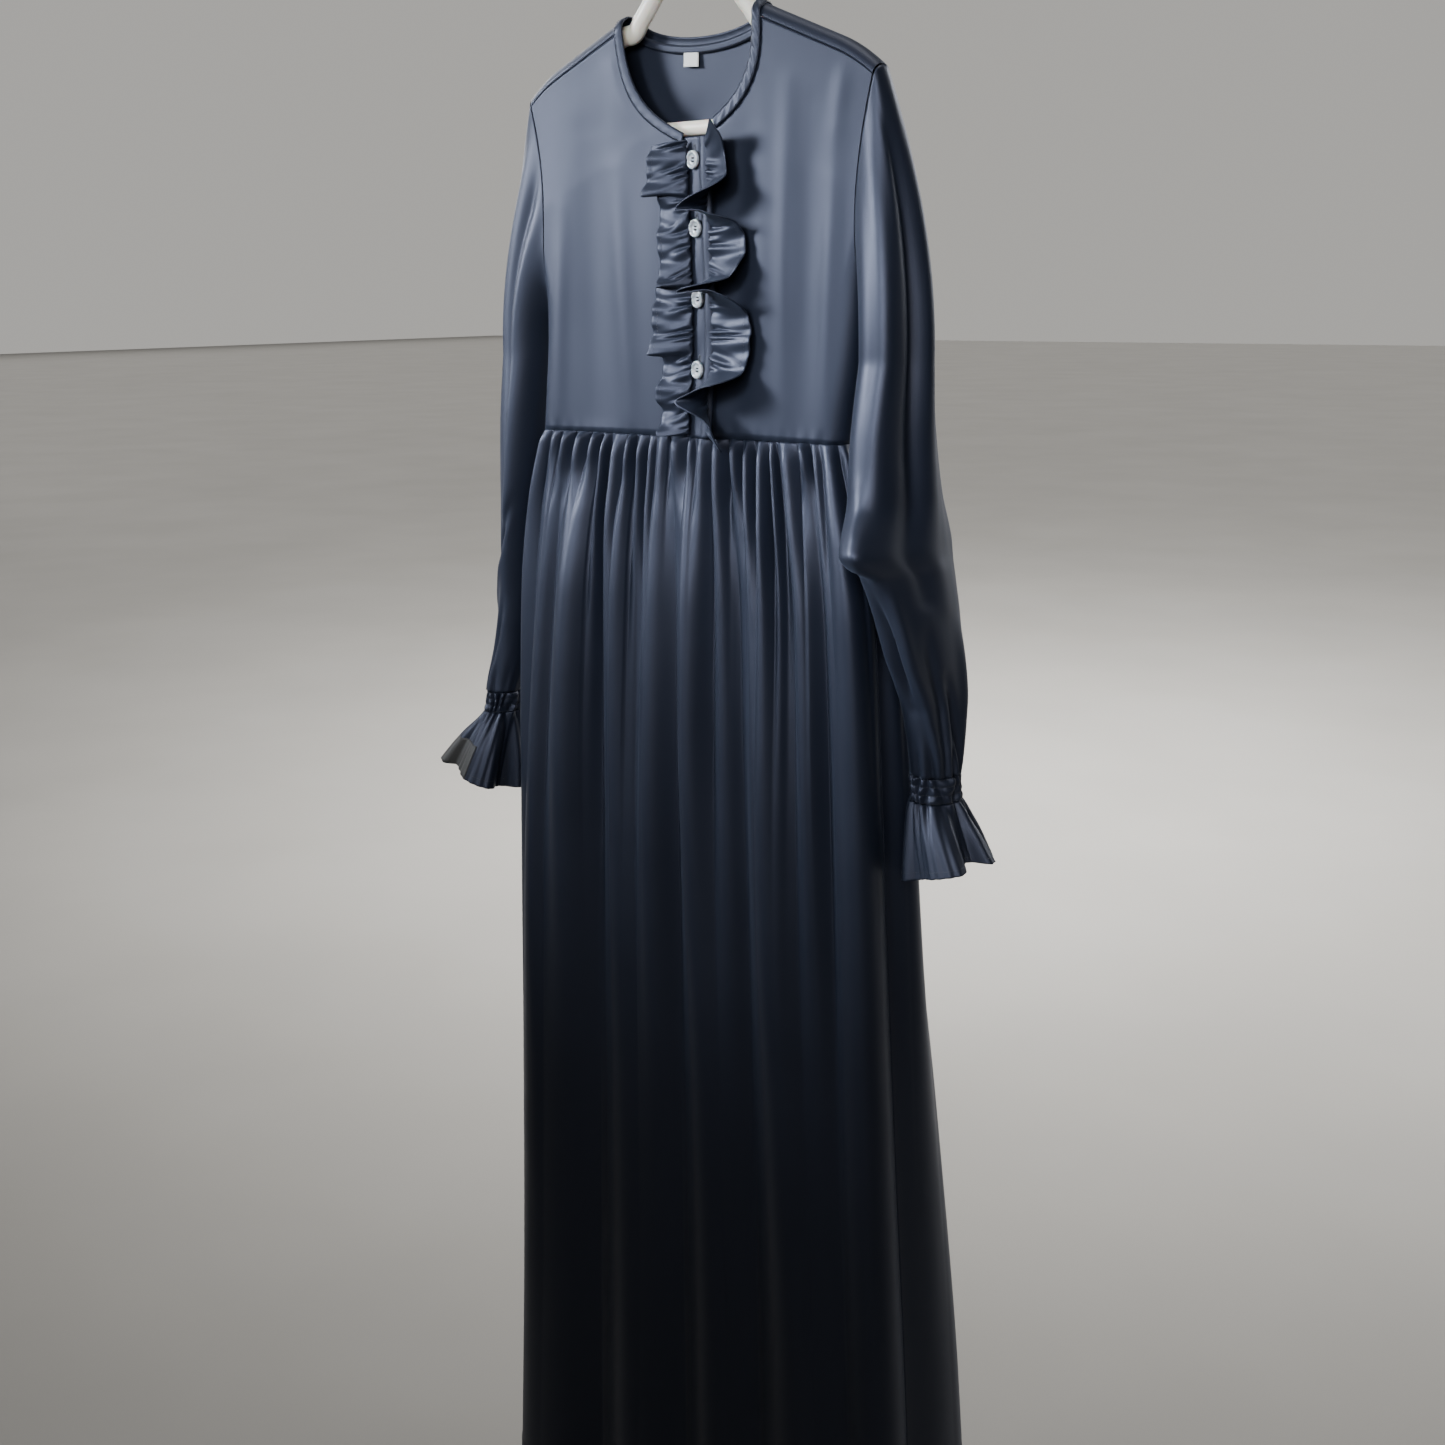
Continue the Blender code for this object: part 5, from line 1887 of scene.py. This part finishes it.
@dataclass
class Skirt:
    """The gathered skirt: fine gathers at the waist that open into long folds and then broad sways."""

    front_gathers: int = 25
    back_gathers: int = 20
    front_folds: tuple[float, ...] = (
        0.00, 0.075, 0.14, 0.29, 0.396, 0.50, 0.606, 0.674, 0.813, 0.884, 1.00,
    )
    front_sways: tuple[float, ...] = (0.00, 0.28, 0.50, 0.68, 0.88, 1.00)
    back_folds: tuple[float, ...] = (0.00, 0.09, 0.19, 0.27, 0.38, 0.46, 0.57, 0.66, 0.79, 0.90, 1.00)
    back_sways: tuple[float, ...] = (0.00, 0.19, 0.38, 0.62, 0.81, 1.00)
    columns: int = 330
    hem: float = 0.018
    seam_gap: float = 0.00005
    table: Sections = field(default_factory=lambda: Sections(
        "centre half front_depth front_corner back_depth back_corner gather fold sway",
        (
            (0.3480, -0.0120, 0.171, 0.015, 0.015, 0.018, 0.018, 0.0013, 0.0000, 0.0000),
            (0.3600, -0.0118, 0.174, 0.017, 0.017, 0.020, 0.020, 0.0050, 0.0012, 0.0000),
            (0.3850, -0.0115, 0.179, 0.018, 0.018, 0.024, 0.022, 0.0054, 0.0052, 0.0000),
            (0.4300, -0.0105, 0.187, 0.021, 0.021, 0.030, 0.026, 0.0028, 0.0118, 0.0005),
            (0.5000, -0.0090, 0.195, 0.024, 0.024, 0.037, 0.030, 0.0010, 0.0170, 0.0020),
            (0.6100, -0.0090, 0.202, 0.027, 0.027, 0.046, 0.032, 0.0002, 0.0172, 0.0055),
            (0.7800, -0.0080, 0.210, 0.030, 0.030, 0.060, 0.034, 0.0000, 0.0120, 0.0115),
            (1.0000, -0.0050, 0.220, 0.033, 0.033, 0.080, 0.036, 0.0000, 0.0042, 0.0155),
            (1.2500, -0.0010, 0.232, 0.038, 0.038, 0.100, 0.040, 0.0000, 0.0024, 0.0175),
            (1.4700, 0.0000, 0.242, 0.042, 0.042, 0.108, 0.042, 0.0000, 0.0018, 0.0190),
        ),
    ))

    @staticmethod
    def half_section(half: float, depth: float, corner: float, part: float) -> tuple[Vector, Vector]:
        """Return a place on half of the section, and the direction in which it faces.

        Args:
            half: half the section's width.
            depth: how far it stands off the middle plane.
            corner: the radius of its corners.
            part: from 0 at the wearer's right seam to 1 at the left.

        Returns:
            The place and its direction, with y away from the middle.
        """
        wall = depth - corner
        round_corner = corner * math.pi / 2
        flat = 2 * (half - corner)
        way = part * (2 * wall + 2 * round_corner + flat)
        mirrored = way > wall + round_corner + flat / 2
        if mirrored:
            way = 2 * wall + 2 * round_corner + flat - way
        if way < wall:
            place, facing = Vector((-half, way)), Vector((-1.0, 0.0))
        elif way < wall + round_corner:
            turn = (way - wall) / corner
            facing = Vector((-math.cos(turn), math.sin(turn)))
            place = Vector((-half + corner, wall)) + facing * corner
        else:
            place, facing = Vector((-half + corner + way - wall - round_corner, depth)), Vector((0.0, 1.0))
        if mirrored:
            place.x, facing.x = -place.x, -facing.x
        return place, facing

    @staticmethod
    def lobe(part: float, valleys: Sequence[float]) -> tuple[int, float, float]:
        """Return which fold a place is in, how far across it, and its width beside an even one.

        Args:
            part: how far across the panel.
            valleys: where the folds meet.

        Returns:
            The three values.
        """
        k = min(max(bisect_right(valleys, part) - 1, 0), len(valleys) - 2)
        low, high = valleys[k], valleys[k + 1]
        return k, (part - low) / (high - low), (high - low) * (len(valleys) - 1)

    @staticmethod
    def rounded(across: float) -> float:
        """Return a fold's height, its crown full and its valleys a little softened."""
        arch = math.sin(math.pi * across)
        return 0.55 * arch + 0.45 * arch * arch

    def gather_valleys(self, panel: Panel) -> list[float]:
        """Return where the valleys between the waist's gathers lie, uneven as cloth draws up.

        Args:
            panel: front or back.

        Returns:
            Their places across the panel.
        """
        count = self.front_gathers if panel is Panel.FRONT else self.back_gathers
        seed = 3.0 if panel is Panel.FRONT else 8.0
        valleys = [k / count + 0.36 / count * uneven(k, seed) for k in range(1, count)]
        return [0.0, *valleys, 1.0]

    def off(self, part: float, drop: float, panel: Panel, amounts: Sequence[float]) -> float:
        """Return how far gathers, folds and sways move the cloth out.

        Args:
            part: how far across the panel.
            drop: the depth below the collar level.
            panel: front or back.
            amounts: the heights of gathers, folds and sways at this drop.

        Returns:
            The distance out.
        """
        _, fold, sway = amounts
        waist = self.table.first
        at_seam = min(min(part, 1 - part) * self.front_gathers, 1.0)
        k, across, _ = self.lobe(part, self.valleys[panel])
        reach = 1.1 + 0.75 * uneven(k, 5.0)
        gather = self.table.read("gather", waist + (drop - waist) / reach) * (0.95 + 0.45 * uneven(k, 1.0))
        out = gather * (2.0 * self.rounded(across) - 1.0) * at_seam
        lean = 0.010 * math.sin(drop * 4.0) * math.sin(math.pi * part)
        folds = self.back_folds if panel is Panel.BACK else self.front_folds
        sways = self.back_sways if panel is Panel.BACK else self.front_sways
        k, across, width = self.lobe(min(max(part + lean, 0.0), 1.0), folds)
        swell = 1 + 0.22 * math.sin(6.0 * drop + 2.1 * k)
        out += fold * (self.rounded(across) * min(width, 1.3) * swell - 0.2 * at_seam)
        k, across, width = self.lobe(min(max(part - lean * 0.8, 0.0), 1.0), sways)
        out += sway * self.rounded(across) * min(width, 1.3) * (1 + 0.10 * math.sin(4.0 * drop + 1.7 * k))
        return out

    def point(
        self, part: float, drop: float, panel: Panel, columns: Sequence[float], lift: float = 0.0
    ) -> Vector:
        """Return a point of the skirt's cloth.

        Args:
            part: how far across the panel.
            drop: the depth below the collar level.
            panel: front or back.
            columns: the table's columns at this drop.
            lift: how far out of the cloth the point lies.

        Returns:
            The point.
        """
        centre, half, front_depth, front_corner, back_depth, back_corner, *amounts = columns
        behind = panel is Panel.BACK
        depth, corner = (back_depth, back_corner) if behind else (front_depth, front_corner)
        seam = self.seam_gap / (2 * half)
        place, facing = self.half_section(half, depth, corner, seam + (1 - 2 * seam) * part)
        place += facing * (self.off(part, drop, panel, amounts) + lift)
        return Vector((centre + place.x, place.y * panel.value, NECK_Z - drop))

    def drops(self) -> list[float]:
        """Return the drops of the rows, close together at the gathers and at the hem.

        Returns:
            The drops.
        """
        start, end = self.table.first + JOIN / 2, self.table.last
        rows = [start + 0.10 * (k / 34) ** 1.2 for k in range(34)]
        rows += [start + 0.10 + 0.26 * k / 40 for k in range(40)]
        below = start + 0.36
        rows += [below + (end - self.hem - 0.004 - below) * k / 52 for k in range(52)]
        return rows + [end - self.hem - 0.004, end - self.hem, end - self.hem + 0.001, end - 0.008, end]

    def panel_rows(self, panel: Panel) -> list[Row]:
        """Return the rows of a panel, from the waist to the hem.

        Args:
            panel: front or back.

        Returns:
            The rows.
        """
        rows = []
        for drop in self.drops():
            columns = self.table.at(drop)
            turned = 0.0004 if drop > self.table.last - self.hem + 0.0005 else 0.0
            rows.append([
                self.point(k / self.columns, drop, panel, columns, turned) for k in range(self.columns + 1)
            ])
        return rows

    def stitches(self) -> StitchLine:
        """Return the stitches round the hem.

        Returns:
            The stitches.
        """
        sewn = StitchLine("hem_stitches", pitch=0.0034, length=0.0026)
        drop = self.table.last - self.hem + 0.0025
        columns = self.table.at(drop)
        for panel in Panel:
            sewn.run([self.point(k / 500, drop, panel, columns, CLOTH / 2 + 0.0006) for k in range(501)])
        return sewn

    def build(self) -> None:
        """Make and dress the skirt."""
        self.valleys = {panel: self.gather_valleys(panel) for panel in Panel}
        sewn = self.stitches().sew()
        front = woven("skirt_front_cloth", self.panel_rows(Panel.FRONT), CLOTH)
        dress(front, SATIN, "satin", "skirt_front")
        back = woven("skirt_back_cloth", self.panel_rows(Panel.BACK), CLOTH)
        dress(back, SATIN, "satin", "skirt_back")


@dataclass
class Hanger:
    """The moulded arms and bar, and the wire hook."""

    arm_line: tuple[Pair, ...] = (
        (0.000, -0.048), (0.015, -0.045), (0.030, -0.036), (0.042, -0.024),
        (0.051, -0.013), (0.059, -0.004), (0.067, 0.0054),
    )
    arm_radius: float = 0.0085
    arm_flatness: float = 0.70
    arm_clearance: float = 0.0012
    arm_end: float = 0.172
    bar_drop: float = 0.087
    bar_radius: float = 0.0063
    strut_x: float = 0.150
    strut_top_drop: float = 0.0470
    strut_bend: float = 0.020
    wire: float = 0.0021
    hook_inside: float = 0.0175

    def arms(self) -> Object:
        """Make the two arms in one, with round ends.

        Returns:
            The piece.
        """
        half = [(x, NECK_Z - drop) for x, drop in self.arm_line]
        for x in (0.080, 0.105, 0.130, 0.150, 0.163, self.arm_end):
            slope = (BODY.ridge(x - 0.001) - BODY.ridge(x + 0.001)) / 0.002
            below = (CLOTH / 2 + self.arm_clearance + self.arm_radius) * math.hypot(1.0, slope)
            half.append((x, BODY.ridge(x) - below))
        line = [Vector((-x, 0.0, z)) for x, z in reversed(half[1:])]
        line += [Vector((x, 0.0, z)) for x, z in half]
        return rod("arms", smooth_path(line), self.arm_radius, self.arm_flatness, 32)

    def bar(self) -> Object:
        """Make the trouser bar on its two struts.

        Returns:
            The piece.
        """
        level = NECK_Z - self.bar_drop
        corner = [(self.strut_x, NECK_Z - self.strut_top_drop)]
        for k in range(9):
            turn = math.pi / 2 * k / 8
            corner.append((
                self.strut_x - self.strut_bend + self.strut_bend * math.cos(turn),
                level + self.strut_bend - self.strut_bend * math.sin(turn),
            ))
        line = [Vector((-x, 0.0, z)) for x, z in corner]
        line += [Vector((x, 0.0, z)) for x, z in reversed(corner)]
        return rod("bar", line, self.bar_radius, 0.85, 24)

    def hook(self) -> Object:
        """Make the wire hook, the inside of its crown at the origin.

        Returns:
            The piece.
        """
        radius = self.hook_inside + self.wire
        foot = NECK_Z - self.arm_line[0][1] + self.arm_radius - 0.002
        shank = ((0.0, 0.0), (0.0, 0.010), (0.005, 0.016))
        line = [Vector((x, 0.0, foot + up)) for x, up in shank]
        for k in range(31):
            turn = math.radians(-52 + 272 * k / 30)
            line.append(Vector((radius * math.cos(turn), 0.0, radius * math.sin(turn) - self.hook_inside)))
        return rod("hook_wire", smooth_path(line, 4), self.wire, 1.0, 18)

    def build(self) -> None:
        """Make and dress the hanger."""
        dress(self.arms(), IVORY, "ivory", "hanger_arms")
        dress(self.bar(), IVORY, "ivory", "hanger_bar")
        dress(self.hook(), WIRE, "steel", "hanger_hook")


@dataclass(frozen=True)
class Lamp:
    """A soft rectangular light: its place and aim, its size, watts, colour and beam in degrees."""

    name: str
    place: Colour
    at: Colour
    size: Pair
    power: float
    colour: Colour
    spread: float

    def build(self) -> None:
        """Hang the lamp."""
        lamp = bpy.data.lights.new(self.name, "AREA")
        lamp.shape = "RECTANGLE"
        lamp.size, lamp.size_y = self.size
        lamp.energy = self.power
        lamp.color = self.colour
        lamp.spread = math.radians(self.spread)
        item = placed(self.name, lamp)
        item.location = self.place
        item.rotation_euler = (Vector(self.at) - Vector(self.place)).to_track_quat("-Z", "Y").to_euler()


COOL_LIGHT = (0.97, 0.98, 1.0)
WARM_LIGHT = (1.0, 0.98, 0.95)
LAMPS = (
    Lamp("window", (-1.80, -1.40, 0.42), (0.0, 0.0, -0.43), (1.8, 0.5), 8.6, (0.88, 0.93, 1.0), 25.5),
    Lamp("front", (0.15, -2.2, 0.35), (0.06, 0.0, -0.42), (2.0, 0.5), 4.0, (0.89, 0.94, 1.0), 24.0),
    Lamp("back", (0.6, 2.6, 0.6), (0.0, 0.0, -0.40), (1.6, 1.6), 5.0, COOL_LIGHT, 46.0),
    Lamp("side", (-1.6, 0.5, 0.35), (-0.1, 0.0, -0.25), (0.8, 0.9), 2.0, COOL_LIGHT, 60.0),
    Lamp("fill", (1.2, -1.9, 0.3), (0.12, 0.0, -0.40), (1.2, 1.0), 2.6, (1.0, 0.98, 0.97), 44.0),
    Lamp("far_floor", (-17.0, 22.0, 12.0), (-17.0, 22.0, FLOOR_Z), (44.0, 44.0), 4200.0, WARM_LIGHT, 50.0),
    Lamp("floor_light", (-1.0, 2.2, 1.6), (-1.6, 3.4, FLOOR_Z), (2.5, 2.5), 130.0, WARM_LIGHT, 110.0),
)


@dataclass
class Studio:
    """The pale floor, the soft light and the camera at the photograph's angle."""

    floor_size: float = 80.0
    yaw: float = 38.2
    distance: float = 1.54
    focal: float = 1700.0
    image: float = 1445.0
    pan: float = 0.86
    pitch: float = 14.7
    roll: float = 0.7
    eye: float = -0.21
    wall_colour: Colour = (0.82, 0.80, 0.76)
    bright_side: Colour = (-0.616, 0.788, 0.0)
    bright_between: Pair = (0.62, 0.94)
    wall_strength: Pair = (0.022, 0.56)

    def floor(self) -> None:
        """Make the floor."""
        half = self.floor_size / 2
        ways = ((-1, -1), (1, -1), (1, 1), (-1, 1))
        corners = [Vector((x * half, y * half, FLOOR_Z)) for x, y in ways]
        item = walled("floor", corners, [(0, 1, 2, 3)], 0.0)
        item.data.materials.append(FLOOR.material())

    def sky(self) -> None:
        """Set the plain surroundings, pale behind the garment and dim in front of it."""
        world = bpy.data.worlds.new("room")
        bpy.context.scene.world = world
        world.use_nodes = True
        tree = world.node_tree
        back = tree.nodes["Background"]
        back.inputs["Color"].default_value = (*self.wall_colour, 1.0)
        links = tree.links
        look = tree.nodes.new("ShaderNodeTexCoord")
        toward = tree.nodes.new("ShaderNodeVectorMath")
        toward.operation = "DOT_PRODUCT"
        toward.inputs[1].default_value = self.bright_side
        glow = tree.nodes.new("ShaderNodeMapRange")
        glow.interpolation_type = "SMOOTHSTEP"
        values = (*self.bright_between, *self.wall_strength)
        for name, value in zip(("From Min", "From Max", "To Min", "To Max"), values):
            glow.inputs[name].default_value = value
        links.new(look.outputs["Generated"], toward.inputs[0])
        links.new(toward.outputs["Value"], glow.inputs["Value"])
        links.new(glow.outputs["Result"], back.inputs["Strength"])

    def camera(self) -> None:
        """Set the camera where the photograph was taken from."""
        lens = bpy.data.cameras.new("camera")
        lens.sensor_width = 36.0
        lens.lens = self.focal / self.image * lens.sensor_width
        lens.clip_start = 0.05
        item = placed("camera", lens)
        yaw, pitch = math.radians(self.yaw), math.radians(self.pitch)
        place = Vector((self.distance * math.sin(yaw), -self.distance * math.cos(yaw), NECK_Z + self.eye))
        level = Vector((-math.sin(yaw), math.cos(yaw), 0.0))
        level = Matrix.Rotation(math.radians(-self.pan), 3, "Z") @ level
        look = level * math.cos(pitch) + Vector((0.0, 0.0, -math.sin(pitch)))
        turn = look.to_track_quat("-Z", "Y").to_matrix().to_4x4()
        pivot = Matrix.Translation((0.0, 0.0, NECK_Z))
        roll = pivot @ Matrix.Rotation(math.radians(self.roll), 4, "Y") @ pivot.inverted()
        item.matrix_world = roll @ Matrix.Translation(place) @ turn
        bpy.context.scene.camera = item

    def build(self) -> None:
        """Set up the studio."""
        self.floor()
        self.sky()
        for lamp in LAMPS:
            lamp.build()
        self.camera()


def main() -> None:
    """Build the hanger, then the garment from the neck down, and the studio round them."""
    logging.basicConfig(level=logging.INFO, format="%(name)s: %(message)s")
    Hanger().build()
    Bodice().build()
    NeckFinish().build()
    Placket().build()
    PlacketRuffle(Side.RIGHT, RIGHT_RUFFLE, 0.032, 1.1).build()
    PlacketRuffle(Side.LEFT, LEFT_RUFFLE, 0.038, 0.3).build()
    Sleeve(Side.LEFT, LEFT_SLEEVE, LEFT_SLEEVE_FOLDS).build()
    Sleeve(Side.RIGHT, RIGHT_SLEEVE, RIGHT_SLEEVE_FOLDS).build()
    Cuff(Side.LEFT, LEFT_CUFF, LEFT_CUFF_FRILL).build()
    Cuff(Side.RIGHT, RIGHT_CUFF, RIGHT_CUFF_FRILL).build()
    Skirt().build()
    Studio().build()


if __name__ == "__main__":
    main()
